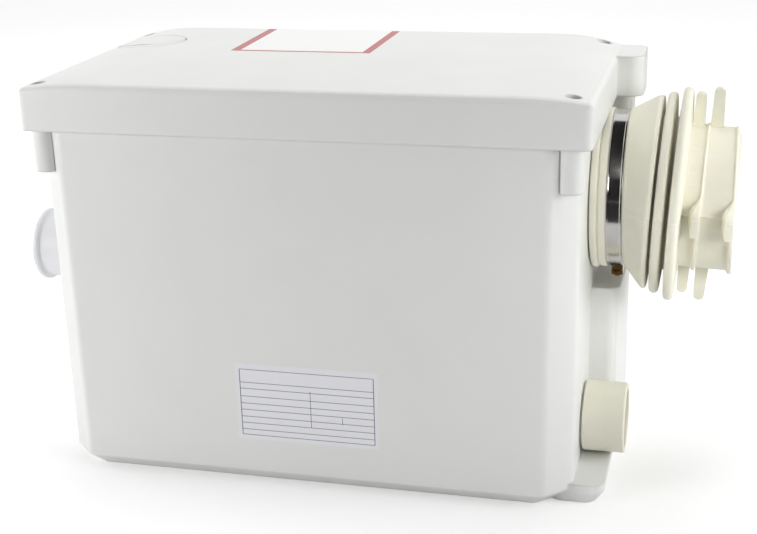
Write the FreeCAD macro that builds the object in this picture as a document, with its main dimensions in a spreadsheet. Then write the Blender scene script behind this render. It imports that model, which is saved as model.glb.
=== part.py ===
import FreeCAD, Part
import math
import os
import re
from types import SimpleNamespace

import Sketcher
from FreeCAD import Placement, Rotation, Vector

# A floor-standing sewage lifting station, in millimetres.
# The origin is at the middle of the tank's footprint on the floor.
# +X points to the end with the toilet sleeve, +Y to the back and +Z up.

sizes = {
    # Tank
    "tank_length": 444,
    "tank_depth": 248,
    "tank_height": 322,
    "tank_wall": 3.5,
    "tank_floor": 5,
    "tank_draft": 0.35,
    "corner_cut": 22,
    "corner_round": 9,
    "base_chamfer": 12,
    # Stepped right end of the tank
    "step_out": 23,
    "step_round": 11,
    "plinth_height": 17,
    "plinth_in": 20,
    "block_gap": 11.15,
    "block_deep": 116,
    "column_deep": 30,
    "column_gap": 1,
    # Screw bosses
    "boss_in": 6.3,
    "boss_back": 10,
    "boss_radius": 9,
    "boss_height": 56,
    "screw_radius": 2,
    "screw_head_radius": 4,
    "screw_head_height": 3,
    "screw_length": 38,
    "screw_gap": 0.05,
    "counterbore_radius": 6.3,
    "screw_seat": 6,
    # Lid
    "lid_out": 8,
    "lid_front_out": 6,
    "lid_shift": 2,
    "lid_overlap": 20,
    "lid_over": 15.5,
    "lid_front_rise": 3.5,
    "lid_rise": 7.5,
    "lid_slope": 55,
    "lid_break": 10,
    "lid_wall": 3,
    "lid_front_round": 6,
    "lid_back_round": 16,
    "lid_edge_round": 5,
    "lobe_out": 22,
    "lobe_in": 6,
    "lobe_depth": 58,
    "lobe_round": 12,
    "seal_height": 4,
    # Vent in the lid
    "vent_in": 36,
    "vent_along": 52,
    "vent_radius": 31,
    "vent_gap": 0.4,
    "vent_wall": 2.5,
    "cage_wall": 1.2,
    "filter_height": 10,
    # Toilet sleeve
    "sleeve_in": 109,
    "sleeve_drop": 86,
    "spigot_radius": 60.5,
    "spigot_wall": 4,
    "spigot_length": 28,
    "cuff_wall": 4.3,
    "cuff_bead": 2.8,
    "cuff_past": 8,
    "throat_radius": 60,
    "mitre_out": 3,
    "sleeve_reach": 120,
    "sleeve_start": 0.3,
    "sleeve_tilt": 3,
    "cone_start": 6,
    "cone_length": 20,
    "cone_radius": 79.4,
    "rubber_wall": 4,
    "neck_radius": 59,
    "fin_small": 83,
    "fin_large": 88,
    "fin_thick": 9,
    "fin_one": 27.5,
    "fin_two": 39.5,
    "fin_half": 49,
    "fin_four": 63,
    "lip_first": 59,
    "collar_end": 85.5,
    "collar_bore": 50.5,
    "collar_depth": 20,
    "lip_height": 3,
    "lip_width": 3.5,
    "tab_radius": 14,
    # Band clamp on the sleeve
    "band_start": 13.5,
    "band_width": 12.5,
    "band_thick": 0.9,
    "band_ease": 0.05,
    "worm_radius": 3.2,
    "worm_gap": 0.6,
    "worm_drop": 1.2,
    "worm_head_radius": 4.6,
    "worm_head_height": 3.4,
    "worm_length": 20,
    "housing_wall": 1.2,
    # Small inlets
    "inlet_apart": 51,
    "cap_height": 175.5,
    "lower_height": 49,
    "inlet_radius": 25.5,
    "inlet_wall": 3,
    "inlet_length": 16,
    "cap_reach": 42,
    "cap_wall": 3.2,
    "cap_rim": 31.8,
    "cap_rim_thick": 5,
    "lower_reach": 35,
    "lower_wall": 4.2,
    "pipe_radius": 24.75,
    "flap_radius": 24,
    "flap_thick": 3,
    "flap_gap": 0.4,
    "hinge_radius": 1.5,
    "hinge_gap": 0.08,
    # Motor and pump, standing upright in the tank
    "motor_across": -40,
    "motor_in": 116,
    "shaft_radius": 6,
    "shaft_bottom": 15,
    "shaft_top": 245,
    "running_gap": 0.06,
    "rotor_radius": 28,
    "rotor_gap": 0.5,
    "core_bottom": 150,
    "core_height": 62,
    "stator_radius": 50,
    "winding_height": 16,
    "housing_bottom": 84,
    "housing_top": 248,
    "housing_thick": 3.5,
    "bearing_radius": 13,
    "bearing_height": 8,
    "pump_radius": 50,
    "pump_wall": 4,
    "pump_bottom": 40,
    "pump_top": 78,
    "impeller_radius": 42,
    "impeller_height": 20,
    "impeller_gap": 4,
    "vane_count": 5,
    "vane_thick": 3.5,
    "eye_radius": 22,
    "seal_radius": 11,
    "cutter_radius": 26,
    "cutter_height": 10,
    "screen_radius": 33,
    "screen_wall": 2.5,
    "screen_slots": 18,
    "slot_width": 5,
    "leg_radius": 6,
    "leg_circle": 43,
    "mount_height": 10,
    # Discharge
    "riser_in": 32,
    "pipe_outer": 16,
    "pipe_wall": 3,
    "outlet_height": 60,
    "bend_radius": 26,
    "valve_bottom": 118,
    "valve_radius": 26,
    "valve_height": 48,
    "valve_seat": 12,
    "valve_flap": 15.5,
    "valve_ear": 3,
    "valve_ear_out": 12,
    "spout_drop": 60,
    "spout_reach": 52,
    "spout_small": 14,
    "spout_mid": 16,
    "spout_flange": 27,
    "spout_flange_thick": 4,
    # Pressure switch
    "switch_across": 42,
    "bell_radius": 15,
    "bell_wall": 2.5,
    "bell_bottom": 22,
    "switch_radius": 24,
    "switch_base": 236,
    "switch_height": 22,
    "diaphragm_radius": 18,
    "diaphragm_travel": 3,
    "micro_length": 28,
    "micro_depth": 11,
    "micro_height": 16,
    "button_radius": 2,
    # Electrics on top of the motor
    "box_length": 104,
    "box_depth": 76,
    "box_height": 46,
    "box_wall": 2.5,
    "capacitor_radius": 15,
    "capacitor_length": 62,
    # Cable gland on the back wall
    "gland_across": 96,
    "gland_drop": 46,
    "gland_radius": 10,
    "gland_bore": 4,
    "gland_nut": 14,
    "gland_reach": 22,
    "joint_gap": 0.3,
}
sleeve_height = sizes["tank_height"] - sizes["sleeve_drop"]
clamp_pieces = ("spigot_radius", "cuff_wall", "band_ease", "band_thick", "worm_drop", "housing_wall")
clamp_reach = sum(sizes[name] for name in clamp_pieces) + 2 * sizes["worm_radius"] + sizes["worm_gap"] / 2
back_wall = sizes["tank_depth"] / 2
step_back = back_wall - sizes["base_chamfer"] / 2
sizes |= {
    # Sizes that follow from those above
    "sleeve_height": sleeve_height,
    "sleeve_along": back_wall - sizes["sleeve_in"],
    "inlet_along": back_wall - sizes["sleeve_in"] - sizes["inlet_apart"],
    "block_height": sleeve_height - clamp_reach - sizes["block_gap"],
    "plinth_front": sizes["plinth_in"] - back_wall,
    "block_front": step_back - sizes["block_deep"],
    "column_front": step_back - sizes["column_deep"],
    "column_height": sizes["tank_height"] - sizes["lid_overlap"] - sizes["column_gap"],
    "boss_across": sizes["tank_length"] - 2 * sizes["boss_in"],
    "boss_along": sizes["tank_depth"] - 2 * sizes["boss_back"],
    "counterbore_floor": sizes["tank_height"] + sizes["screw_seat"],
    "lid_length": sizes["tank_length"] + 2 * sizes["lid_out"],
    "lid_depth": sizes["tank_depth"] + 2 * sizes["lid_front_out"],
    "lid_bottom": sizes["tank_height"] - sizes["lid_overlap"],
    "lid_edge_height": sizes["tank_height"] + sizes["lid_over"],
    "vent_ledge": sizes["tank_height"],
    "vent_across": sizes["vent_in"] - sizes["tank_length"] / 2,
    "lobe_front": back_wall + sizes["lid_front_out"] - sizes["lobe_in"] - sizes["lobe_depth"],
    "motor_along": back_wall - sizes["motor_in"],
    "switch_along": back_wall - sizes["motor_in"],
    "riser_along": back_wall - sizes["riser_in"],
    "spout_height": sizes["tank_height"] - sizes["spout_drop"],
    "gland_height": sizes["tank_height"] - sizes["gland_drop"],
}

doc = FreeCAD.newDocument("LiftingStation")
sheet = doc.addObject("Spreadsheet::Sheet", "Sizes")
for row, (alias, number) in enumerate(sizes.items(), start=1):
    sheet.set(f"A{row}", alias)
    sheet.set(f"B{row}", str(number))
    sheet.setAlias(f"B{row}", alias)
doc.recompute()
size = SimpleNamespace(**{alias: float(sheet.get(alias)) for alias in sizes})
nodes = []


def linked(text):
    """An expression on the sheet: each alias gets the sheet's name in front."""
    return re.sub(r"[a-z_]+", lambda word: "Sizes." + word[0] if word[0] in sizes else word[0], str(text))


def put(piece, x=0, y=0, z=0, axis=None, angle=0):
    """Place a piece by expressions, turned about an axis where one is given."""
    if axis:
        piece.Placement = Placement(Vector(), Rotation(Vector(*axis), angle))
    for name, text in (("x", x), ("y", y), ("z", z)):
        piece.setExpression(f"Placement.Base.{name}", linked(text))
    return piece


def primitive(kind, label, sides, **place):
    piece = doc.addObject("Part::" + kind, label)
    for name, text in sides.items():
        piece.setExpression(name, linked(text))
    return put(piece, **place)


def rod(label, radius, height, **place):
    return primitive("Cylinder", label, {"Radius": radius, "Height": height}, **place)


def block(label, length, width, height, **place):
    return primitive("Box", label, {"Length": length, "Width": width, "Height": height}, **place)


def cone(label, low, high, height, **place):
    return primitive("Cone", label, {"Radius1": low, "Radius2": high, "Height": height}, **place)


def fuse(label, *pieces):
    joined = doc.addObject("Part::MultiFuse", label)
    joined.Shapes = list(pieces)
    return joined


def group(label, *pieces):
    joined = doc.addObject("Part::Compound", label)
    joined.Links = list(pieces)
    return joined


def cut(label, base, *tools):
    result = doc.addObject("Part::Cut", label)
    result.Base = base
    result.Tool = tools[0] if len(tools) == 1 else fuse(label + "Tools", *tools)
    return result


def common(label, first, second):
    result = doc.addObject("Part::Common", label)
    result.Base = first
    result.Tool = second
    return result


def made(label, shape):
    """A piece whose shape comes from Part's own functions."""
    piece = doc.addObject("Part::Feature", label)
    piece.Shape = shape
    return piece


def node(piece, name):
    piece.Label = name
    nodes.append(piece)
    return piece


def origin_part(body, role):
    return next(item for item in body.Origin.OriginFeatures if item.Role == role)


def outline(body, label, role, points, level="0"):
    """A closed sketch of straight lines whose corners are bound to the sheet."""
    drawing = body.newObject("Sketcher::SketchObject", label)
    drawing.AttachmentSupport = (origin_part(body, role), "")
    drawing.MapMode = "FlatFace"
    drawing.setExpression("AttachmentOffset.Base.z", linked(level))
    count = len(points)
    turns = [2 * math.pi * index / count for index in range(count)]
    start = [Vector(math.cos(turn), math.sin(turn), 0) for turn in turns]
    for index in range(count):
        drawing.addGeometry(Part.LineSegment(start[index], start[(index + 1) % count]), False)
    for index in range(count):
        drawing.addConstraint(Sketcher.Constraint("Coincident", index, 2, (index + 1) % count, 1))
    for index, (across, up) in enumerate(points):
        for way, text, now in (("X", across, start[index].x), ("Y", up, start[index].y)):
            name = f"p{index}{way}"
            drawing.addConstraint(Sketcher.Constraint("Distance" + way, -1, 1, index, 1, now))
            drawing.renameConstraint(drawing.ConstraintCount - 1, name)
            drawing.setExpression("Constraints." + name, linked(text))
    return drawing


def feature(body, kind, label, drawing=None, **settings):
    before = body.Tip
    step = body.newObject("PartDesign::" + kind, label)
    step.BaseFeature = before
    body.Tip = step
    if drawing:
        step.Profile = drawing
    for name, value in settings.items():
        if isinstance(value, str):
            step.setExpression(name, linked(value))
        else:
            setattr(step, name, value)
    return step


def rounded(corners, radii, level):
    """A closed wire through the corners, each rounded by its own radius."""
    count = len(corners)
    points = [Vector(x, y, level) for x, y in corners]
    pairs = []
    for index, corner in enumerate(points):
        before = (points[index - 1] - corner).normalize()
        after = (points[(index + 1) % count] - corner).normalize()
        half = before.getAngle(after) / 2
        reach = radii[index] / math.tan(half)
        middle = corner + (before + after).normalize() * (radii[index] / math.sin(half) - radii[index])
        pairs.append((corner + before * reach, middle, corner + after * reach))
    edges = []
    for index, (begin, middle, end) in enumerate(pairs):
        edges.append(Part.Arc(begin, middle, end).toShape())
        edges.append(Part.makeLine(end, pairs[(index + 1) % count][0]))
    return Part.Wire(edges)


def moulding(label, *plans):
    """A solid skinned through rounded plans, each given as corners, radii and level."""
    return made(label, Part.makeLoft([rounded(*plan) for plan in plans], True, True))


def octagon(length, depth, corner):
    """The tank's plan: a rectangle with its four corners cut at 45 degrees."""
    x, y = length / 2, depth / 2
    return [
        (corner - x, -y), (x - corner, -y), (x, corner - y), (x, y - corner),
        (x - corner, y), (corner - x, y), (-x, y - corner), (-x, corner - y),
    ]


def rectangle(left, right, front, back):
    return [(left, front), (right, front), (right, back), (left, back)]


def tank_plan(inset, corner_inset, level):
    """The tank's plan at a level, drawn in by the draft and by an inset."""
    drawn_in = inset + (size.tank_height - level) * math.tan(math.radians(size.tank_draft))
    corners = octagon(
        size.tank_length - 2 * drawn_in, size.tank_depth - 2 * drawn_in, size.corner_cut - corner_inset
    )
    return corners, [size.corner_round - corner_inset] * 8, level


# Tank: a drafted moulding with cut corners and a chamfered base, hollowed from the rim
half_length = size.tank_length / 2
half_depth = size.tank_depth / 2
tank_outer = moulding(
    "TankOuter",
    tank_plan(size.base_chamfer, size.base_chamfer / 3, 0),
    tank_plan(0, 0, size.base_chamfer),
    tank_plan(0, 0, size.tank_height),
)
wall_corner = size.tank_wall * (2 - math.sqrt(2))
tank_inner = moulding(
    "TankInner",
    tank_plan(size.tank_wall + size.base_chamfer, wall_corner + size.base_chamfer / 3, size.tank_floor),
    tank_plan(size.tank_wall, wall_corner, size.tank_floor + size.base_chamfer),
    tank_plan(size.tank_wall, wall_corner, size.tank_height + size.tank_wall),
)

# Stepped right end: a low plinth, a block beside the pump and a column up to the lid
step_left = half_length - size.corner_cut
step_right = half_length + size.step_out


def step_piece(label, front, height, low_inset):
    radii = [size.step_round] * 4
    low = rectangle(step_left, step_right - low_inset, front + low_inset / 2, step_back - low_inset / 2)
    full = rectangle(step_left, step_right, front, step_back)
    edge = min(size.base_chamfer, height / 2)
    return moulding(label, (low, radii, 0), (full, radii, edge), (full, radii, height))


plinth = step_piece("Plinth", size.plinth_front, size.plinth_height, size.base_chamfer / 2)
step_block = step_piece("StepBlock", size.block_front, size.block_height, size.base_chamfer / 2)
column = step_piece("Column", size.column_front, size.column_height, size.base_chamfer / 2)
well = block(
    "Well", "step_out + tank_wall", "tank_depth / 2 - base_chamfer - block_front - 2 * tank_wall",
    "block_height - tank_wall - tank_floor - base_chamfer",
    x="tank_length / 2 - 2 * tank_wall", y="block_front + tank_wall", z="tank_floor + base_chamfer",
)
shaft = block(
    "ColumnShaft", "step_out + tank_wall", "tank_depth / 2 - base_chamfer - column_front - 2 * tank_wall",
    "column_height - block_height",
    x="tank_length / 2 - 2 * tank_wall", y="column_front + tank_wall", z="block_height - 2 * tank_wall",
)

# Screw bosses at the four corners, each with a blind pilot hole
boss_places = [
    (x, y) for x in ("-boss_across / 2", "boss_across / 2") for y in ("-boss_along / 2", "boss_along / 2")
]
bosses = [
    rod(f"Boss{number}", "boss_radius", "boss_height", x=x, y=y, z="tank_height - boss_height")
    for number, (x, y) in enumerate(boss_places)
]
pilots = [
    rod(f"Pilot{number}", "screw_radius + screw_gap", "screw_length + 2", x=x, y=y,
        z="counterbore_floor - screw_length - 2")
    for number, (x, y) in enumerate(boss_places)
]

# Spigots: the toilet inlet, the blanked inlet on the left and the low inlet on the right
along_x = (0, 1, 0)
wall_inside = "tank_length / 2 - 2 * tank_wall"
spigot = rod("Spigot", "spigot_radius", "spigot_length + 2 * tank_wall", x=wall_inside, y="sleeve_along",
             z="sleeve_height", axis=along_x, angle=90)
spigot_bore = rod("SpigotBore", "spigot_radius - spigot_wall", "spigot_length + 6 * tank_wall",
                  x="tank_length / 2 - 4 * tank_wall", y="sleeve_along", z="sleeve_height", axis=along_x,
                  angle=90)
cap_spigot = rod("CapSpigot", "inlet_radius", "inlet_length + 2 * tank_wall", x="-(" + wall_inside + ")",
                 y="inlet_along", z="cap_height", axis=along_x, angle=-90)
cap_bore = rod("CapBore", "inlet_radius - inlet_wall", "inlet_length + 6 * tank_wall",
               x="-tank_length / 2 + 4 * tank_wall", y="inlet_along", z="cap_height", axis=along_x, angle=-90)
low_spigot = rod("LowSpigot", "inlet_radius", "inlet_length + 2 * tank_wall", x=wall_inside, y="inlet_along",
                 z="lower_height", axis=along_x, angle=90)
low_bore = rod("LowBore", "inlet_radius - inlet_wall", "inlet_length + 6 * tank_wall",
               x="tank_length / 2 - 4 * tank_wall", y="inlet_along", z="lower_height", axis=along_x, angle=90)
tank_solid = fuse("TankSolid", tank_outer, plinth, step_block, column, *bosses)
tank_shell = cut("TankShell", tank_solid, tank_inner, well, shaft)
tank_spigots = fuse("TankSpigots", tank_shell, spigot, cap_spigot, low_spigot)
back_hole = "tank_depth / 2 - 3 * tank_wall"
riser_across = "motor_across - pump_radius + pipe_outer - pipe_wall"
back_way = (1, 0, 0)
spout_hole = rod("SpoutHole", "pipe_outer + joint_gap", "6 * tank_wall", x=riser_across, y=back_hole,
                 z="spout_height", axis=back_way, angle=-90)
gland_hole = rod("GlandHole", "gland_radius + joint_gap", "6 * tank_wall", x="gland_across", y=back_hole,
                 z="gland_height", axis=back_way, angle=-90)

# Hinge ears for the low inlet's flap, moulded on the wall inside
flap_face = f"{wall_inside} - flap_gap"
flap_hinge_x = f"{flap_face} - hinge_radius * 2 - 0.5"
flap_hinge_z = "lower_height + flap_radius + hinge_radius * 2"
ears = [
    block(f"Ear{number}", "hinge_radius * 6 + 1", "4", "hinge_radius * 5",
          x=f"{flap_hinge_x} - hinge_radius * 2",
          y=y, z=f"{flap_hinge_z} - hinge_radius * 2")
    for number, y in enumerate(("inlet_along - 13", "inlet_along + 9"))
]
ear_bore = rod("EarBore", "hinge_radius + screw_gap", "30", x=flap_hinge_x, y="inlet_along - 15",
               z=flap_hinge_z,
               axis=back_way, angle=-90)
tank_ears = fuse("TankEars", tank_spigots, *ears)
node(cut("Tank", tank_ears, spigot_bore, cap_bore, low_bore, spout_hole, gland_hole, ear_bore, *pilots),
     "tank")

# Lid: a thin crowned shell with a straight skirt and a lobe over the column
lid_left = size.lid_shift - size.lid_length / 2
lid_right = size.lid_shift + size.lid_length / 2
lid_side = size.lid_depth / 2


def crown_section(y, rise, drop, inset):
    """A section across the lid: flat in the middle, curving down to its two rounded ends."""
    left, right = lid_left + inset, lid_right - inset
    low, edge = size.lid_bottom - 1, size.lid_edge_height - inset - drop
    curl = size.lid_edge_round - inset / 2
    span = size.lid_slope - curl
    top = edge + rise
    bend = (span ** 2 + rise ** 2) / (2 * rise)
    middle = top - bend + math.sqrt(bend ** 2 - (span / 2) ** 2)
    cheek = curl * (1 - math.sqrt(0.5))
    at = [Vector(x, y, z) for x, z in (
        (left, low), (right, low), (right, edge - curl), (right - cheek, edge - cheek), (right - curl, edge),
        (right - curl - span / 2, middle), (right - size.lid_slope, top), (left + size.lid_slope, top),
        (left + curl + span / 2, middle), (left + curl, edge), (left + cheek, edge - cheek),
        (left, edge - curl),
    )]
    return Part.Wire([
        Part.makeLine(at[0], at[1]), Part.makeLine(at[1], at[2]), Part.Arc(at[2], at[3], at[4]).toShape(),
        Part.Arc(at[4], at[5], at[6]).toShape(), Part.makeLine(at[6], at[7]),
        Part.Arc(at[7], at[8], at[9]).toShape(), Part.Arc(at[9], at[10], at[11]).toShape(),
        Part.makeLine(at[11], at[0]),
    ])


def crown(label, inset):
    """The lid's crown, skinned from front to back, its long edges rounded in two steps."""
    curl = size.lid_edge_round
    front, back = inset - lid_side, lid_side - inset
    steps = [(0, 0.9 * curl), (0.28 * curl, 0.28 * curl), (0.9 * curl, 0)]
    sections = [(front + run, size.lid_front_rise, drop) for run, drop in steps]
    sections.append((size.lid_break, size.lid_rise, 0))
    sections += [(back - run, size.lid_rise, drop) for run, drop in reversed(steps)]
    return made(label, Part.makeLoft([crown_section(*section, inset) for section in sections], True, True))


def lid_prism(label, inset, low, high):
    corners = rectangle(lid_left + inset, lid_right - inset, inset - lid_side, lid_side - inset)
    front, back = size.lid_front_round - inset / 2, size.lid_back_round - inset
    radii = [front, front, back, back]
    return moulding(label, (corners, radii, low), (corners, radii, high))


def lobe_prism(label, inset, low, high):
    corners = rectangle(half_length - 3 * size.lobe_round + inset, lid_right + size.lobe_out - inset,
                        size.lobe_front + inset, size.lobe_front + size.lobe_depth - inset)
    radii = [size.lobe_round - inset] * 4
    return moulding(label, (corners, radii, low), (corners, radii, high))


lobe_top = size.lid_edge_height - 1
lid_above = size.lid_edge_height + 3 * size.lid_rise
lid_outer = common("LidOuter", crown("Crown", 0), lid_prism("LidPrism", 0, size.lid_bottom, lid_above))
lid_lobe = lobe_prism("LidLobe", 0, size.lid_bottom, lobe_top)
lid_solid = fuse("LidSolid", lid_outer, lid_lobe)
doc.recompute()


lid_inner = common("LidInner", crown("CrownInside", size.lid_wall),
                   lid_prism("LidPrismInside", size.lid_wall, size.lid_bottom - 1, lid_above))
lobe_inner = lobe_prism("LobeInside", size.lid_wall, size.lid_bottom - 1, lobe_top - size.lid_wall)
lid_shell = cut("LidShell", lid_solid, lid_inner, lobe_inner)

# Inside the lid: a rib that presses the seal, posts for the screws and a cage for the vent filter
rib_outer = moulding("RibOuter", *[
    tank_plan(0, 0, size.tank_height)[:2] + (level,)
    for level in (size.tank_height + size.seal_height, lid_above)
])
rib_inner = moulding("RibInner", *[
    tank_plan(size.tank_wall, wall_corner, size.tank_height)[:2] + (level,)
    for level in (size.tank_height, lid_above + 1)
])
posts = [
    rod(f"Post{number}", "counterbore_radius + lid_wall + joint_gap",
        "lid_edge_height - tank_height - seal_height + lid_rise", x=x, y=y, z="tank_height + seal_height")
    for number, (x, y) in enumerate(boss_places)
]
vent_cage = rod("VentCage", "vent_radius + cage_wall", "lid_edge_height + lid_rise - vent_ledge",
                x="vent_across",
                y="vent_along", z="vent_ledge")
lid_inside = common("LidInside", cut("LidRib", rib_outer, rib_inner), lid_outer)
post_inside = common("PostInside", fuse("LidPosts", vent_cage, *posts), lid_outer)
counterbores = [
    rod(f"Counterbore{number}", "counterbore_radius", "3 * lid_rise + 10", x=x, y=y, z="counterbore_floor")
    for number, (x, y) in enumerate(boss_places)
]
clearances = [
    rod(f"Clearance{number}", "screw_radius + joint_gap", "20", x=x, y=y, z="tank_height")
    for number, (x, y) in enumerate(boss_places)
]
vent_hole = rod("VentHole", "vent_radius", "2 * vent_radius", x="vent_across", y="vent_along",
                z="vent_ledge + vent_wall")
vent_drain = rod("VentDrain", "vent_radius - 2 * vent_wall", "10", x="vent_across", y="vent_along",
                 z="vent_ledge - 1")
lid_whole = fuse("LidWhole", lid_shell, lid_inside, post_inside)
node(cut("Lid", lid_whole, vent_hole, vent_drain, *counterbores, *clearances), "lid")

seal_outer = moulding("SealOuter", *[
    tank_plan(0, 0, size.tank_height)[:2] + (level,)
    for level in (size.tank_height, size.tank_height + size.seal_height)
])
seal_bores = [
    rod(f"SealBore{number}", "screw_radius + joint_gap", "2 * seal_height", x=x, y=y, z="tank_height - 1")
    for number, (x, y) in enumerate(boss_places)
]
node(cut("LidSeal", seal_outer, rib_inner, *seal_bores), "lid_seal")

screws = []
for number, (x, y) in enumerate(boss_places):
    shank = rod(f"Shank{number}", "screw_radius", "screw_length", x=x, y=y,
                z="counterbore_floor - screw_length")
    head = rod(f"Head{number}", "screw_head_radius", "screw_head_height", x=x, y=y, z="counterbore_floor")
    slots = [
        block(f"Slot{number}{way}", length, width, "screw_head_height", x=f"{x} - ({length}) / 2",
              y=f"{y} - ({width}) / 2", z="counterbore_floor + screw_head_height / 2")
        for way, length, width in (("A", "screw_radius * 2", "0.9"), ("B", "0.9", "screw_radius * 2"))
    ]
    screws.append(cut(f"Screw{number}", fuse(f"ScrewSolid{number}", shank, head), *slots))
node(group("LidScrews", *screws), "lid_screws")

# Vent: a snap-in disc that follows the lid's crown, over a carbon pad
vent_plug = rod("VentPlug", "vent_radius - vent_gap", "2 * vent_radius", x="vent_across", y="vent_along",
                z="vent_ledge + vent_wall")
vent_hollow = rod("VentHollow", "vent_radius - vent_gap - vent_wall", "filter_height + vent_gap",
                  x="vent_across",
                  y="vent_along", z="vent_ledge + vent_wall")
node(cut("VentCap", common("VentDisc", lid_outer, vent_plug), vent_hollow), "vent_cap")
node(rod("VentFilter", "vent_radius - 2 * vent_gap - vent_wall", "filter_height", x="vent_across",
         y="vent_along", z="vent_ledge + vent_wall"), "vent_filter")


def tube(label, outer, inner, height, **place):
    """A round tube along its own Z, bored right through."""
    body = rod(label + "Outer", outer, height)
    bore = rod(label + "Bore", inner, f"{height} + 2", z="-1")
    return put(cut(label, body, bore), **place)


def bead(label, radius, middle, thick, angle="360"):
    """A rubber pleat or bead: a disc whose rim is eased on both sides."""
    ease = f"({thick}) * 0.3"
    core = f"{radius} - {ease}"
    low = primitive("Cone", label + "Low",
                    {"Radius1": core, "Radius2": radius, "Height": ease, "Angle": angle},
                    z=f"{middle} - ({thick}) / 2")
    rim = primitive("Cylinder", label + "Rim",
                    {"Radius": radius, "Height": f"({thick}) * 0.4", "Angle": angle},
                    z=f"{middle} - ({thick}) * 0.2")
    high = primitive("Cone", label + "High",
                     {"Radius1": radius, "Radius2": core, "Height": ease, "Angle": angle},
                     z=f"{middle} + ({thick}) * 0.2")
    return [low, rim, high]


# Toilet sleeve: a rubber cuff on the tank's spigot, then a drooping concertina that ends in a collar
cuff_parts = [
    rod("Cuff", "spigot_radius + cuff_wall", "spigot_length + cuff_past - sleeve_start", z="sleeve_start"),
    rod("CuffBand", "spigot_radius + cuff_wall + 1.2", "band_start - sleeve_start - 1", z="sleeve_start"),
]
cuff_parts += bead("CuffLip", "spigot_radius + cuff_wall + 0.4 + cuff_bead", "sleeve_start + cuff_bead",
                   "2 * cuff_bead")
cuff_bores = [
    rod("CuffBore", "spigot_radius + joint_gap / 3", "spigot_length + joint_gap"),
    rod("CuffExit", "throat_radius", "spigot_length + cuff_past + 1"),
]
cuff_whole = put(cut("CuffWhole", fuse("CuffSolid", *cuff_parts), *cuff_bores), x="tank_length / 2",
                 y="sleeve_along", z="sleeve_height", axis=along_x, angle=90)
mitre_x = "tank_length / 2 + spigot_length + mitre_out"
beyond, before = [
    rod(label, "2 * spigot_radius", "sleeve_reach", x=mitre_x, y="sleeve_along", z="sleeve_height",
        axis=along_x,
        angle=size.sleeve_tilt / 2 + side)
    for label, side in (("BeyondMitre", 90), ("BeforeMitre", -90))
]
cuff = cut("CuffShell", cuff_whole, beyond)
lips = []
tabs = []
for name, end in (("First", "lip_first"), ("Last", "collar_end")):
    lips.append(rod(name + "Lip", "neck_radius + lip_height / 2", "lip_width", z=f"{end} - lip_width"))
    thick_lip = primitive("Cylinder", name + "ThickLip", {"Radius": "neck_radius + lip_height",
                                                         "Height": "lip_width", "Angle": "76"},
                          z=f"{end} - lip_width", axis=(0, 0, 1), angle=-76)
    pad_tube = rod(name + "Pad", "neck_radius + lip_height + 0.6", "tab_radius", z=f"{end} - tab_radius")
    pad_round = rod(name + "PadRound", "tab_radius", "neck_radius + 3 * lip_height", z=end,
                    axis=(1, math.tan(math.radians(2)), 0), angle=90)
    tabs += [thick_lip, common(name + "Tab", pad_tube, pad_round)]
pleat_parts = [
    rod("ConeRoot", "spigot_radius + cuff_wall", "cone_start + cuff_past", z="-cuff_past"),
    cone("Cone", "spigot_radius + cuff_wall", "cone_radius - 1", "cone_length - cone_start", z="cone_start"),
    cone("ConeBack", "cone_radius - 1", "neck_radius + 3", "2.5", z="cone_length"),
    rod("NeckRoot", "neck_radius + 3", "fin_two - cone_length", z="cone_length"),
    rod("Neck", "neck_radius", "collar_end - fin_two", z="fin_two"),
]
pleat_parts += bead("ConeRim", "cone_radius", "cone_length - 0.5", "5")
pleat_parts += bead("FinOne", "fin_small", "fin_one", "fin_thick")
pleat_parts += bead("FinTwo", "fin_large", "fin_two", "fin_thick")
pleat_parts += bead("FinHalf", "fin_small", "fin_half", "fin_thick", "180")
pleat_parts += bead("FinFour", "fin_large", "fin_four", "fin_thick", "180")
pleat_bores = [
    rod("PleatEntry", "throat_radius", "cone_start + cuff_past + 1", z="-cuff_past - 1"),
    cone("ConeBore", "throat_radius", "cone_radius - rubber_wall - 3", "cone_length - 2 - cone_start",
         z="cone_start"),
    rod("NeckBore", "neck_radius - rubber_wall", "collar_end - collar_depth - cone_length + 3",
        z="cone_length - 3"),
    rod("CollarBore", "collar_bore", "collar_depth + 2", z="collar_end - collar_depth"),
]
pleat_bores += [
    rod(f"Pleat{number}Hollow", f"{radius} - 2 * rubber_wall", "fin_thick / 3", z=f"{middle} - fin_thick / 6")
    for number, (radius, middle) in enumerate((("fin_small", "fin_one"), ("fin_large", "fin_two")))
]
pleats = fuse("PleatSolid", *pleat_parts, *lips, *tabs)
pleats = put(cut("PleatShell", pleats, *pleat_bores), x=f"{mitre_x} - mitre_out * cos(sleeve_tilt * 1 deg)",
             y="sleeve_along", z="sleeve_height + mitre_out * sin(sleeve_tilt * 1 deg)", axis=along_x,
             angle=90 + size.sleeve_tilt)
node(fuse("Sleeve", cuff, cut("PleatsMitred", pleats, before)), "wc_sleeve")

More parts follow.
